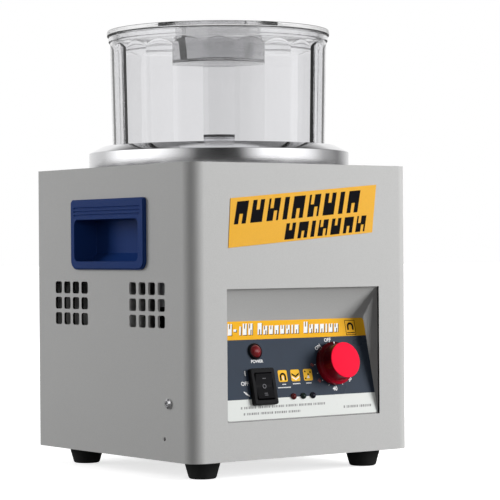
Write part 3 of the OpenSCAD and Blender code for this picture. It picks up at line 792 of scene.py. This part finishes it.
def word_blocks(words, x, base, tall, wide, gap, space):
    """Rows of plain slanted blocks: T notched on top, B below, S both; I and - are bars."""
    out = []
    for word in words:
        for kind in word:
            w = wide * (0.4 if kind in "iI" else 1.0)
            h = tall * (1.0 if kind in "ITBS" else 0.76)
            deep, half = h * 0.44, w * 0.14
            below = {"B": 0.5, "S": 0.68}.get(kind.upper())
            above = {"T": 0.5, "S": 0.32}.get(kind.upper())
            if kind == "-":
                shape = [(0, h * 0.4), (w * 0.7, h * 0.4), (w * 0.7, h * 0.68), (0, h * 0.68)]
            else:
                shape = [(0, 0)]
                if below:
                    a, b = w * below - half, w * below + half
                    shape += [(a, 0), (a, deep), (b, deep), (b, 0)]
                shape += [(w, 0), (w, h)]
                if above:
                    a, b = w * above - half, w * above + half
                    shape += [(b, h), (b, h - deep), (a, h - deep), (a, h)]
                shape.append((0, h))
            out.append([(x + a + b * 0.2, base + b) for a, b in shape])
            x += w + gap
        x += space
    return out


def frame_outline(x, y, w, h, t):
    """Four bars round a rectangle about a middle."""
    left, right, low, high = x - w / 2, x + w / 2, y - h / 2, y + h / 2
    return [
        rect(left, low, right, low + t), rect(left, high - t, right, high),
        rect(left, low, left + t, high), rect(right - t, low, right, high),
    ]


# ------------------------------------------------------------------ properties


class TumblerSizes(PropertyGroup):
    """Sizes of the fine detail."""

    flats: IntProperty(
        name="Flats", description="Flats around the inside of the bowl", default=22, min=6
    )
    flat_steps: IntProperty(
        name="Steps per Flat", description="Mesh columns across one flat", default=8, min=2
    )
    bowl_wall: FloatProperty(
        name="Bowl Wall", description="Thickness of the bowl's wall between its flats",
        default=0.002, unit="LENGTH", subtype="DISTANCE", precision=4,
    )
    edge: FloatProperty(
        name="Moulded Edge", description="Rounding of moulded plastic edges",
        default=0.0006, unit="LENGTH", subtype="DISTANCE", precision=4,
    )
    print_lift: FloatProperty(
        name="Print Lift", description="Height of printed marks over their film",
        default=0.00004, unit="LENGTH", subtype="DISTANCE", precision=5,
    )


def colour(name, description, value):
    """Colour property with a default."""
    return FloatVectorProperty(
        name=name, description=description, subtype="COLOR", size=3, min=0, max=1, default=value
    )


class TumblerColours(PropertyGroup):
    """Main colours."""

    paint: colour("Paint", "Powder coat of the cabinet", (0.5, 0.5, 0.495))
    navy: colour("Handles", "Plastic of the side handles", (0.012, 0.04, 0.17))
    knob: colour("Knob", "Plastic of the timer knob", (0.98, 0.01, 0.045))
    amber: colour("Amber", "Amber print", (0.78, 0.395, 0.009))
    slate: colour("Slate", "Slate print of the panel", (0.025, 0.036, 0.055))
    silver: colour("Silver", "Pale foot of the panel print", (0.68, 0.7, 0.68))


class TumblerSettings(PropertyGroup):
    """All settings."""

    sizes: PointerProperty(type=TumblerSizes)
    colours: PointerProperty(type=TumblerColours)


def settings():
    """The scene's settings."""
    return bpy.context.scene.tumbler


# ------------------------------------------------------------------- operators


class TUMBLER_OT_cabinet(Operator):
    """Paint the folded sheet cabinet and plate its chassis"""

    bl_idname = "tumbler.cabinet"
    bl_label = "Cabinet"

    def execute(self, context):
        wrap = softened("housing_wrap", "paint")
        centre = middle("housing_wrap")
        # Inner faces of the wrap take the near-black painted shade
        second_finish(wrap.data, "inner", lambda face: face.normal.dot(face.center - centre) < 0)
        # The control recess takes the darker painted-shade paint
        softened("control_recess", "recess")
        dress(top_plate="paint", back_panel="paint", base_plate="steel", deck_plate="deck",
              panel_overlay="film")
        return {"FINISHED"}


class TUMBLER_OT_collar(Operator):
    """Turn the collar ring with its polished chamfer and satin side"""

    bl_idname = "tumbler.collar"
    bl_label = "Collar"

    def execute(self, context):
        low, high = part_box("collar_ring")
        outer = (high.x - low.x) / 2
        tall = high.z - low.z
        profile = rounded([
            (RING_BORE, tall * 0.5), (RING_BORE, 0), (outer, 0), (outer, tall - 6 * MM),
            (outer - 11.5 * MM, tall), (RING_BORE, tall), (RING_BORE, tall * 0.5 + 0.1 * MM),
        ], 0.5 * MM)
        place = Matrix.Translation((0, AXIS.y, low.z))
        mesh = smooth(lathe("collar_look", profile, 256, place), 28)
        put("collar_look", mesh, ["collar_ring"], "collar")
        second_finish(mesh, "skirt", lambda face: abs(face.normal.z) < 0.2)
        return {"FINISHED"}


# Bowl: lean of its wall, lip, height of the flats' arches and their fall below the rim
BOWL_LEAN = math.tan(math.radians(1.15))
LIP_TALL = 4.9 * MM
ARCH_TALL = 5.6 * MM
FLAT_FALL = 13.3 * MM
# How far the flats stand inside a plain chord, as a share of the radius
FLAT_PROUD = 0.0012
# Hollow hub of the bowl from below and from above, as radius and height in millimetres
HUB_BELOW = ((0, 26), (12, 25.4), (15.4, 0.6), (16.2, 0))
HUB_ABOVE = ((21, 3), (18.6, 3.6), (17.7, 5.4), (14.9, 25.5), (14.1, 27.3), (12.4, 28), (0, 28))


def bowl_rows(angle, narrow, tall, wall, rim):
    """Points of the bowl's section at one angle from the middle of a flat."""
    flat_top = tall - FLAT_FALL
    spread = math.cos(angle)

    def cone(z):
        return rim - (tall - LIP_TALL - z) * BOWL_LEAN

    def chord(z):
        return (cone(z) - wall) * narrow / spread

    thick = cone(flat_top) - wall - chord(flat_top)
    arch = ARCH_TALL * thick / ((cone(flat_top) - wall) * (1 - narrow))
    bottom = chord(3 * MM)
    return [
        *in_mm(HUB_BELOW),
        (cone(0) - 1.2 * MM, 0),
        (cone(1.2 * MM), 1.2 * MM),
        (cone(tall - LIP_TALL), tall - LIP_TALL),
        (rim + 0.7 * MM, tall - LIP_TALL),
        (rim + 1.2 * MM, tall - LIP_TALL + 0.5 * MM),
        (rim + 1.2 * MM, tall - 0.6 * MM),
        (rim + 0.6 * MM, tall),
        (cone(tall) - wall + 0.6 * MM, tall),
        (cone(tall) - wall, tall - 0.6 * MM),
        *(
            (cone(flat_top + arch * t) - wall - thick * math.sqrt(1 - t * t), flat_top + arch * t)
            for t in (1, 0.97, 0.9, 0.78, 0.6, 0.35)
        ),
        (chord(flat_top), flat_top),
        (chord(9 * MM), 9 * MM),
        *(
            (bottom - 6 * MM * (1 - math.cos(a)), 3 * MM + 6 * MM * (1 - math.sin(a)))
            for a in (math.pi / 10 * k for k in range(1, 6))
        ),
        *in_mm(HUB_ABOVE),
    ]


class TUMBLER_OT_bowl(Operator):
    """Mould the clear bowl from one flat, repeated round its axis"""

    bl_idname = "tumbler.bowl"
    bl_label = "Bowl"

    def execute(self, context):
        sizes = settings().sizes
        tall = BOWL_HIGH.z - BOWL_LOW.z
        half = math.pi / sizes.flats
        rim = (BOWL_HIGH.x - BOWL_LOW.x) / 2 - 1.2 * MM
        narrow = math.cos(half) - FLAT_PROUD
        steps = sizes.flat_steps

        def sector(work):
            columns = []
            for k in range(steps + 1):
                angle = -half + 2 * half * k / steps
                columns.append([
                    work.verts.new((r * math.cos(angle), r * math.sin(angle), z))
                    for r, z in bowl_rows(angle, narrow, tall, sizes.bowl_wall, rim)
                ])
            for a, b in zip(columns, columns[1:]):
                for i in range(len(a) - 1):
                    work.faces.new((a[i], b[i], b[i + 1], a[i + 1]))
            bmesh.ops.remove_doubles(work, verts=work.verts, dist=1e-7)

        template = mesh_of("bowl_sector", sector)
        centre = Vector((0, AXIS.y, BOWL_LOW.z))
        mesh = copies(
            "bowl_look", template, [centre] * sizes.flats, "clear",
            first=(0, 0, BOWL_TURN), step=(0, 0, 2 * half), weld=2e-6,
        )
        put("bowl_look", smooth(mesh, 9), ["bowl"], "clear")
        return {"FINISHED"}


class TUMBLER_OT_lid(Operator):
    """Mould the clear lid with its plug, finger well and grip bar"""

    bl_idname = "tumbler.lid"
    bl_label = "Lid"

    def execute(self, context):
        low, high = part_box("lid")
        outer = (high.x - low.x) / 2
        plug = 92 * MM
        thick = 4.6 * MM
        deep = high.z - low.z - 2.5 * MM
        well = 36 * MM
        skin = 2.5 * MM
        floor = thick - deep
        profile = rounded([
            (0, floor - skin), (well + 0.5 * MM, floor - skin), (well + skin, thick - skin),
            (plug - skin, thick - skin), (plug - skin, -7 * MM), (plug, -7 * MM), (plug, 0),
            (outer, 0), (outer, thick), (well, thick), (well - 2 * MM, floor), (0, floor),
        ], 0.8 * MM)
        place = Matrix.Translation((0, AXIS.y, high.z - thick))
        disc = placed("lid_disc", lathe("lid_disc", profile, 192, place, False))
        grip = [(0, 0), (well - 1.4 * MM, 0), (well - 0.2 * MM, deep - 2 * MM), (0, deep - 2 * MM)]
        place = Matrix.Translation((0, AXIS.y, high.z - deep - 0.5 * MM))
        bar = placed("lid_bar", lathe("lid_bar", grip, 96, place, False))
        # Two blocks cut away all but a bar 6 mm thick
        block, away = 0.1, 53 * MM
        for side in (-1, 1):
            place = Matrix.Translation((0, AXIS.y + side * away, high.z))
            cube = mesh_of(
                "lid_cut", lambda w, m=place: bmesh.ops.create_cube(w, size=block, matrix=m)
            )
            cutter = placed("lid_cut", cube)
            bar.data = combined(bar, cutter, "DIFFERENCE")
            bpy.data.objects.remove(cutter)
        mesh = combined(disc, bar, "UNION")
        for thing in (disc, bar):
            bpy.data.objects.remove(thing)
        put("lid_look", smooth(mesh, 30), ["lid"], "lid")
        second_finish(mesh, "frosted", lambda face: (
            (face.center - AXIS).xy.length < well + skin and face.center.z < high.z - 1 * MM
        ))
        return {"FINISHED"}


class TUMBLER_OT_controls(Operator):
    """Make the lamp, the rocker switch and the timer knob"""

    bl_idname = "tumbler.controls"
    bl_label = "Controls"

    def execute(self, context):
        edge = settings().sizes.edge
        softened("rocker_frame", "black", edge * 0.7)
        softened("rocker_paddle", "gloss_black", edge * 0.8)
        softened("lamp_bezel", "gloss_black", 0.0003)
        softened("lamp_lens", "lamp", 0.0002, angle=40)
        dress(timer_body="pale", timer_shaft="steel", timer_nut="steel")
        self.knob()
        self.domes()
        self.rocker_marks()
        return {"FINISHED"}

    def knob(self):
        """Turned knob with a skirt, a hollow under it and one white stroke."""
        wide, grip, tall, lift = 18.3, 15.4, 17.4, 1 * MM
        profile = rounded(in_mm([
            (0, 5), (9.5, 5), (9.5, 0), (wide, 0), (wide, 4.6), (grip + 1.4, 5.2),
            (grip, 6.4), (grip - 0.2, tall), (0, tall),
        ]), 0.7 * MM, 5)
        place = panel_matrix(DIAL + PANEL_OUT * lift)
        mesh = smooth(lathe("knob_look", profile, 160, place, False), 40)
        put("knob_look", mesh, ["timer_knob"], "knob")
        place = panel_matrix(DIAL + PANEL_OUT * (lift + 5.25 * MM))
        stroke = plate_mesh("knob_mark", rect(-0.5, 15.9, 0.5, 17.9), place, 0.25 * MM)
        put("knob_mark", stroke, [], "white_ink", "timer")

    def rocker_marks(self):
        """Raised dash, ring and double dash down the paddle's face."""
        slope = math.atan2(2.1, 9.9)
        face, flat_half = 3.9, 1.2
        marks = []
        for up in (6.4, -6.0, -7.6):
            height = face + (abs(up) - flat_half) * math.tan(slope)
            place = panel_matrix(on_panel(PADDLE_X, PADDLE_UP + up, height))
            place @= Matrix.Rotation(math.copysign(slope, up), 4, "X")
            marks.append(plate_mesh("rocker_dash", rect(-1.7, -0.3, 1.7, 0.3), place, 0.12 * MM))
        place = panel_matrix(on_panel(PADDLE_X, PADDLE_UP, 3.86))
        marks.append(lathe("rocker_ring", in_mm(rect(1.3, 0, 1.9, 0.4)), 40, place))

        def build(work):
            for mesh in marks:
                work.from_mesh(mesh)

        put("rocker_marks", mesh_of("rocker_marks", build), [], "mark",
            "rocker")

    def domes(self):
        """Three small domes in a row, each with a stem behind the panel."""
        wide, tall = 2.79, 2.6
        angles = [math.pi / 20 * k for k in range(1, 10)]
        profile = in_mm([
            (0, -6), (2.4, -6), (2.4, 0), (wide, 0),
            *((wide * math.cos(a), tall * math.sin(a)) for a in angles), (0, tall),
        ])
        for i, finish in enumerate(("red_dome", "green_dome", "blue_dome")):
            place = panel_matrix(on_panel(1.9 + (i - 1) * 10.2, 18.4 - DIAL_UP, FILM))
            mesh = smooth(lathe(f"indicator_{i}", profile, 40, place, False), 50)
            put(f"indicator_{i}", mesh, ["indicator_domes"], finish)


class TUMBLER_OT_panel_print(Operator):
    """Print the control panel: dial figures, switch words, pictures and bars"""

    bl_idname = "tumbler.panel_print"
    bl_label = "Panel Print"

    def execute(self, context):
        self.place = panel_matrix(on_panel(0, 0, FILM))
        self.dial()
        self.words()
        self.pictures()
        self.bars()
        return {"FINISHED"}

    def ink(self, name, shapes, finish, step=1):
        """Prints outlines given from the foot of the panel."""
        shapes = [[(x, y - DIAL_UP) for x, y in s] for s in shapes]
        printed(name, shapes, finish, self.place, lift_steps=step)

    def dial(self):
        """Figures round the dial, turned nearly as far as their angles, and its ticks."""
        white, dim = [], []
        marks = (("ON", -42, 19.9, 3.0), ("OFF", -5, 20.8, 3.0), ("10", 45, 21.5, 3.0),
                 ("20", 88, 21.5, 3.0), ("30", 131, 21.0, 3.0), ("40", 184, 21.3, 3.4),
                 ("50", 231, 21.8, 2.4), ("60", 270, 22.2, 2.4))
        for text, angle, radius, height in marks:
            turn = -angle
            if 100 < angle < 260:
                turn += 180
            x = DIAL.x / MM + radius * math.sin(math.radians(angle))
            y = radius * math.cos(math.radians(angle))
            # Figures 50 and 60 take a darker red than the other figures
            row = dim if text in ("50", "60") else white
            row.append((text, x, y, height, turn * FIGURE_TURN))
        lettering("dial_figures", white, "white_ink", self.place)
        lettering("dial_figures_dim", dim, "dim_ink", self.place)
        tick = plate_mesh("tick", rect(-0.3, 18.7, 0.3, 19.7), Matrix.Identity(4), 0.02 * MM)
        ticks = copies("dial_ticks", tick, [Vector((0, 0, 0))] * 13, "white_ink",
                       step=(0, 0, -math.radians(22.5)))
        ticks.transform(panel_matrix(DIAL + PANEL_OUT * (0.41 * MM)))
        put("dial_ticks", ticks, [], "white_ink", "cabinet")

    def words(self):
        """Words beside the lamp and the switch, and two opposed arrows."""
        rows = [
            ("POWER", -40.6, 49.2 - DIAL_UP, 2.5, 0),
            ("1", -54.6, 39.4 - DIAL_UP, 4.2, 0),
            ("OFF", -56.2, 31.0 - DIAL_UP, 3.2, 0),
        ]
        lettering("switch_words", rows, "white_ink", self.place)
        arrow = (rect(-1.4, -0.45, 1.2, 0.45), [(1.0, -1.1), (2.6, 0), (1.0, 1.1)])
        spots = ((-57.3, 23.6, -35), (-54.2, 21.4, 145))
        self.ink("reverse_arrows", [moved(s, *spot) for spot in spots for s in arrow], "white_ink")

    def pictures(self):
        """Three amber tiles, a magnet, a strip and loose grains, with dashes below them."""
        centres = [(-16.3, 36.0), (-3.1, 36.0), (10.2, 36.0)]
        tiles = [moved(round_rect(9.3, 9.9, 1.4), x, y) for x, y in centres]
        self.ink("picture_tiles", tiles, "amber_ink")
        (ax, ay), (bx, by), (cx, cy) = centres
        dark = [
            moved(band(1.6, 3.3, 0, 180), ax, ay - 0.6),
            *(moved([(x, 0), (x + 1.7, 0), (x + 1.7, -3.2), (x, -3.2)], ax, ay - 0.6)
              for x in (-3.3, 1.6)),
            moved([(-3.9, 0.3), (0, -2.1), (3.9, 0.3), (3.9, 1.8), (0, -0.6), (-3.9, 1.8)],
                  bx, by + 0.4),
            *[moved(circle(0.8, 16), cx + dx, cy + dy)
              for dx, dy in ((-2.7, 2.9), (2.6, 2.2), (-2.9, -3.1), (0.3, 0.4))],
        ]
        pale = [
            moved(rect(-0.5, -3.4, 0.5, -0.2), ax, ay),
            moved([(-3.9, 0.3), (0, -2.1), (3.9, 0.3), (3.9, 1.5), (0, -0.9), (-3.9, 1.5)],
                  bx, by - 2.0),
            moved([(-1.4, -2.8), (1.6, -2.8), (0.2, 0.0)], cx, cy),
        ]
        self.ink("picture_dark", dark, "ink", 2)
        self.ink("picture_pale", pale, "white_ink", 2)
        dashes = []
        for x, y, w in (
            (-15.8, 28.9, 4.0), (-16.0, 26.3, 13.6), (-2.8, 29.0, 8.0), (10.2, 29.0, 5.6),
        ):
            count = max(3, int(w / 1.1))
            for k in range(count):
                left = x - w / 2 + w * k / count
                dashes.append(rect(left, y - 0.45, left + w / count * 0.72, y + 0.45))
        self.ink("picture_captions", dashes, "white_ink")

    def bars(self):
        """Plain blocks and a magnet along the head, and small dashes along the foot."""
        words = ("BT-iTS", "Bstbtsib", "Tsbbits")
        head = word_blocks(words, -72.6, 71.7, tall=9.6, wide=4.1, gap=1.8, space=3.6)
        shade = [[(a + 0.6, b - 0.5) for a, b in shape] for shape in head]
        self.ink("head_bars_shade", shade, "ink")
        self.ink("head_bars", head, "white_ink", 2)
        emblem = [
            *frame_outline(63.6, 75.0, 11.0, 13.0, 0.5),
            moved(band(1.7, 3.5, 0, 180), 63.6, 76.0),
            *(moved([(x, 0), (x + 1.8, 0), (x + 1.8, -3.0), (x, -3.0)], 63.6, 76.0)
              for x in (-3.5, 1.7)),
            rect(59.5, 70.1, 67.7, 70.9),
        ]
        self.ink("head_emblem", emblem, "ink")
        dashes = []
        for x0, x1, y, h in ((-64, 24, 11.1, 1.9), (-62, -2, 6.0, 1.9), (43, 73.5, 7.2, 2.1)):
            x, k = x0, 0
            while x < x1:
                w = (1.5, 0.9, 1.2, 0.7, 1.7)[k % 5]
                dashes.append([(x, y - h / 2), (x + w, y - h / 2), (x + w + 0.4, y + h / 2),
                               (x + 0.4, y + h / 2)])
                x += w + (0.7 if k % 7 else 1.8)
                k += 1
        self.ink("foot_dashes", dashes, "grey_ink")


class TUMBLER_OT_label(Operator):
    """Finish the slanted front label with bold strokes"""

    bl_idname = "tumbler.label"
    bl_label = "Front Label"

    def execute(self, context):
        dress(front_label="amber")
        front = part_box("front_label")[0].y
        place = Matrix.Translation((0, front, 0)) @ Matrix.Rotation(math.pi / 2, 4, "X")
        slope = math.tan(math.radians(4.75))
        strokes = [
            [(x, z + (x + 3) * slope) for x, z in shape]
            for shape in (
                *word_blocks(("BTSIBSTIB",), -72.9, 213.2, 18.4, 12.0, 4.5, 0),
                *word_blocks(("TBISTBS",), -21.5, 196.4, 13.4, 10.0, 3.6, 0),
            )
        ]
        printed("label_strokes", strokes, "ink", place)
        return {"FINISHED"}


class TUMBLER_OT_handles(Operator):
    """Mould the two pocket handles"""

    bl_idname = "tumbler.handles"
    bl_label = "Handles"

    def execute(self, context):
        for node in ("handle_left", "handle_right"):
            softened(node, "handle", settings().sizes.edge, angle=30, segments=3)
        return {"FINISHED"}


class TUMBLER_OT_fixings(Operator):
    """Set the screws of the sides, back and feet, and the rubber feet"""

    bl_idname = "tumbler.fixings"
    bl_label = "Fixings and Feet"

    def execute(self, context):
        softened("side_screws", "bright", 0.0002, angle=25)
        softened("back_screws", "bright", 0.0002, angle=25)
        softened("foot_screws", "steel", 0.0)
        softened("rubber_feet", "rubber", 0.0007, angle=25, segments=3)
        dress(stud_nuts="steel", collar_studs="steel", plate_spacers="steel")
        return {"FINISHED"}


class TUMBLER_OT_drive(Operator):
    """Finish the motor, its shaft and the magnet disc"""

    bl_idname = "tumbler.drive"
    bl_label = "Drive"

    def execute(self, context):
        dress(
            motor_plate="steel", motor_bells="cast", stator_core="laminate",
            stator_windings="winding", rotor_core="laminate", motor_shaft="steel",
            motor_bearings="bright", magnet_disc="cast", magnets_north="magnet",
            magnets_south="magnet",
        )
        return {"FINISHED"}


class TUMBLER_OT_cooling(Operator):
    """Finish the cooling fan and its wire guard"""

    bl_idname = "tumbler.cooling"
    bl_label = "Cooling"

    def execute(self, context):
        dress(fan_frame="black", fan_impeller="black")
        softened("fan_guard", "bright")
        return {"FINISHED"}


class TUMBLER_OT_supply(Operator):
    """Finish the mains inlet, fuse drawer, terminals, capacitor and wires"""

    bl_idname = "tumbler.supply"
    bl_label = "Supply"

    def execute(self, context):
        softened("inlet_socket", "black", 0.0004)
        softened("fuse_drawer", "black", 0.0003)
        dress(inlet_pins="bright", fuse_link="steel", run_capacitor="pale",
              capacitor_clip="steel", terminal_block="pale", inner_wires="black")
        return {"FINISHED"}


class TUMBLER_OT_stage(Operator):
    """Set the pale floor, the studio lights and the camera"""

    bl_idname = "tumbler.stage"
    bl_label = "Stage"

    def execute(self, context):
        self.floor()
        self.world()
        self.lights()
        self.camera()
        return {"FINISHED"}

    def floor(self):
        """Wide floor that glows to the camera, also through clear pieces, and is else dull."""
        mesh = mesh_of("floor", lambda w: bmesh.ops.create_circle(
            w, cap_ends=True, segments=96, radius=FLOOR_RADIUS))
        floor = placed("floor", mesh)
        floor.location.z = -0.2 * MM
        material, tree, shader = new_material(
            "Pale Floor", Roughness=0.7, Emission_Color=(1, 1, 1, 1)
        )
        path = node_in(tree, "ShaderNodeLightPath").outputs
        seen, through = path["Is Camera Ray"], path["Is Transmission Ray"]
        away = vector_calc(tree, "LENGTH", object_point(tree)).outputs["Value"]
        glow = calc(tree, "MULTIPLY", remap(tree, away, 0.5, 1.4, 0.72, 1.0),
                    calc(tree, "MULTIPLY_ADD", through, -0.14, 1.0))
        glow = calc(tree, "MULTIPLY", calc(tree, "MAXIMUM", seen, through), glow)
        tree.links.new(glow, shader.inputs["Emission Strength"])
        mottle = use_group(tree, "grain", Grain_Scale=300.0, Mottle_Scale=2.0)["Mottle"]
        tone = blend_colour(tree, mottle, (0.93, 0.93, 0.93), (0.96, 0.96, 0.96))
        tone = blend_colour(tree, seen, (0.15, 0.15, 0.15), tone)
        tree.links.new(tone, shader.inputs["Base Color"])
        mesh.materials.append(material)

    def world(self):
        """White backdrop, with a dark side behind the viewer and two bright cards in gloss."""
        world = bpy.data.worlds.new("Studio")
        bpy.context.scene.world = world
        world.use_nodes = True
        world.cycles.sampling_method = "NONE"
        tree = world.node_tree
        ray = node_in(tree, "ShaderNodeTexCoord").outputs["Generated"]
        near, side = (along(tree, ray, axis) for axis in (-VIEW_AHEAD, VIEW_ASIDE))
        high = node_in(tree, "ShaderNodeSeparateXYZ", {0: ray}).outputs[2]
        around = calc(tree, "MULTIPLY_ADD", calc(tree, "ARCTAN2", side, near), 1 / TAU, 0.5)
        gloss = calc(tree, "MULTIPLY", grey_ramp(tree, around, GLOSS_RING), GLOSS_GAIN)
        roof = grey_ramp(tree, high, GLOSS_ROOF)
        gloss = calc(
            tree, "MULTIPLY_ADD", gloss, remap(tree, high, 0.4, 0.62, 1, 0),
            calc(tree, "MULTIPLY", roof, remap(tree, high, 0.4, 0.62, 0, 1)),
        )
        upper = remap(tree, high, 0.35, 0.5, 0, 1)
        through = calc(
            tree, "MULTIPLY_ADD", grey_ramp(tree, around, THROUGH_RING),
            calc(tree, "SUBTRACT", 1.0, upper),
            calc(tree, "MULTIPLY", grey_ramp(tree, high, THROUGH_ROOF), upper),
        )
        path = node_in(tree, "ShaderNodeLightPath").outputs
        value = AMBIENT
        for output, seen in (
            ("Is Glossy Ray", gloss), ("Is Transmission Ray", through), ("Is Camera Ray", 1.0),
        ):
            inputs = {0: path[output], 2: value, 3: seen}
            value = node_in(tree, "ShaderNodeMix", inputs, data_type="FLOAT").outputs[0]
        tree.links.new(value, tree.nodes["Background"].inputs["Color"])

    def lights(self):
        """Soft cards, each by its angle round from the viewer, rise, distance, size and power."""
        for name, around, rise, away, size, power in (
            ("front_card", 82, 14, 3.0, (1.6, 1.8), 118),
            ("left_card", -104, 12, 2.6, (1.2, 1.5), 47),
            ("roof_card", 170, 82, 2.2, (1.6, 1.6), 10),
            ("near_fill", 0, 12, 3.0, (1.2, 1.2), 13),
        ):
            data = bpy.data.lights.new(name, "AREA")
            data.shape = "RECTANGLE"
            data.size, data.size_y = size
            data.energy = power
            lamp = placed(name, data)
            turn, lift = math.radians(around), math.radians(rise)
            flat = -VIEW_AHEAD * math.cos(turn) + VIEW_ASIDE * math.sin(turn)
            place = (flat * math.cos(lift) + Vector((0, 0, math.sin(lift)))) * away
            lamp.location = place + Vector((0, 0, 0.18))
            lamp.rotation_euler = (-place).to_track_quat("-Z", "Y").to_euler()
            lamp.visible_glossy = lamp.visible_transmission = False

    def camera(self):
        """Camera of the main view, almost level."""
        data = bpy.data.cameras.new("camera")
        data.sensor_width = 36
        data.lens = CAMERA_LENS
        ahead = VIEW_AHEAD * math.cos(CAMERA_PITCH) + Vector((0, 0, math.sin(CAMERA_PITCH)))
        rise = VIEW_ASIDE.cross(ahead)
        right = VIEW_ASIDE * math.cos(CAMERA_ROLL) + rise * math.sin(CAMERA_ROLL)
        up = rise * math.cos(CAMERA_ROLL) - VIEW_ASIDE * math.sin(CAMERA_ROLL)
        turn = Matrix((right, up, -ahead)).transposed()
        camera = placed("camera", data)
        camera.matrix_world = Matrix.Translation(CAMERA_PLACE) @ turn.to_4x4()
        bpy.context.scene.camera = camera
        bpy.context.scene.view_settings.view_transform = "Standard"


OPERATORS = (
    TUMBLER_OT_cabinet, TUMBLER_OT_collar, TUMBLER_OT_bowl, TUMBLER_OT_lid,
    TUMBLER_OT_controls, TUMBLER_OT_panel_print, TUMBLER_OT_label, TUMBLER_OT_handles,
    TUMBLER_OT_fixings, TUMBLER_OT_drive, TUMBLER_OT_cooling, TUMBLER_OT_supply,
    TUMBLER_OT_stage,
)


class TUMBLER_PT_panel(Panel):
    """Sidebar panel that lists the pieces and their settings"""

    bl_idname = "TUMBLER_PT_panel"
    bl_label = "Pin Tumbler"
    bl_space_type = "VIEW_3D"
    bl_region_type = "UI"
    bl_category = "Tumbler"

    def draw(self, context):
        tumbler = context.scene.tumbler
        for group in (tumbler.sizes, tumbler.colours):
            for key in group.bl_rna.properties.keys():
                if key not in ("rna_type", "name"):
                    self.layout.prop(group, key)
        for operator in OPERATORS:
            self.layout.operator(operator.bl_idname)


CLASSES = (TumblerSizes, TumblerColours, TumblerSettings, *OPERATORS, TUMBLER_PT_panel)


def register():
    """Registers the classes and the scene's settings."""
    for item in CLASSES:
        bpy.utils.register_class(item)
    bpy.types.Scene.tumbler = PointerProperty(type=TumblerSettings)


def unregister():
    """Removes the settings and the classes."""
    del bpy.types.Scene.tumbler
    for item in reversed(CLASSES):
        bpy.utils.unregister_class(item)


def main():
    register()
    make_finishes()
    for operator in OPERATORS:
        group, name = operator.bl_idname.split(".")
        if getattr(getattr(bpy.ops, group), name)() != {"FINISHED"}:
            raise RuntimeError(f"{operator.bl_label} did not finish")


if __name__ == "__main__":
    main()
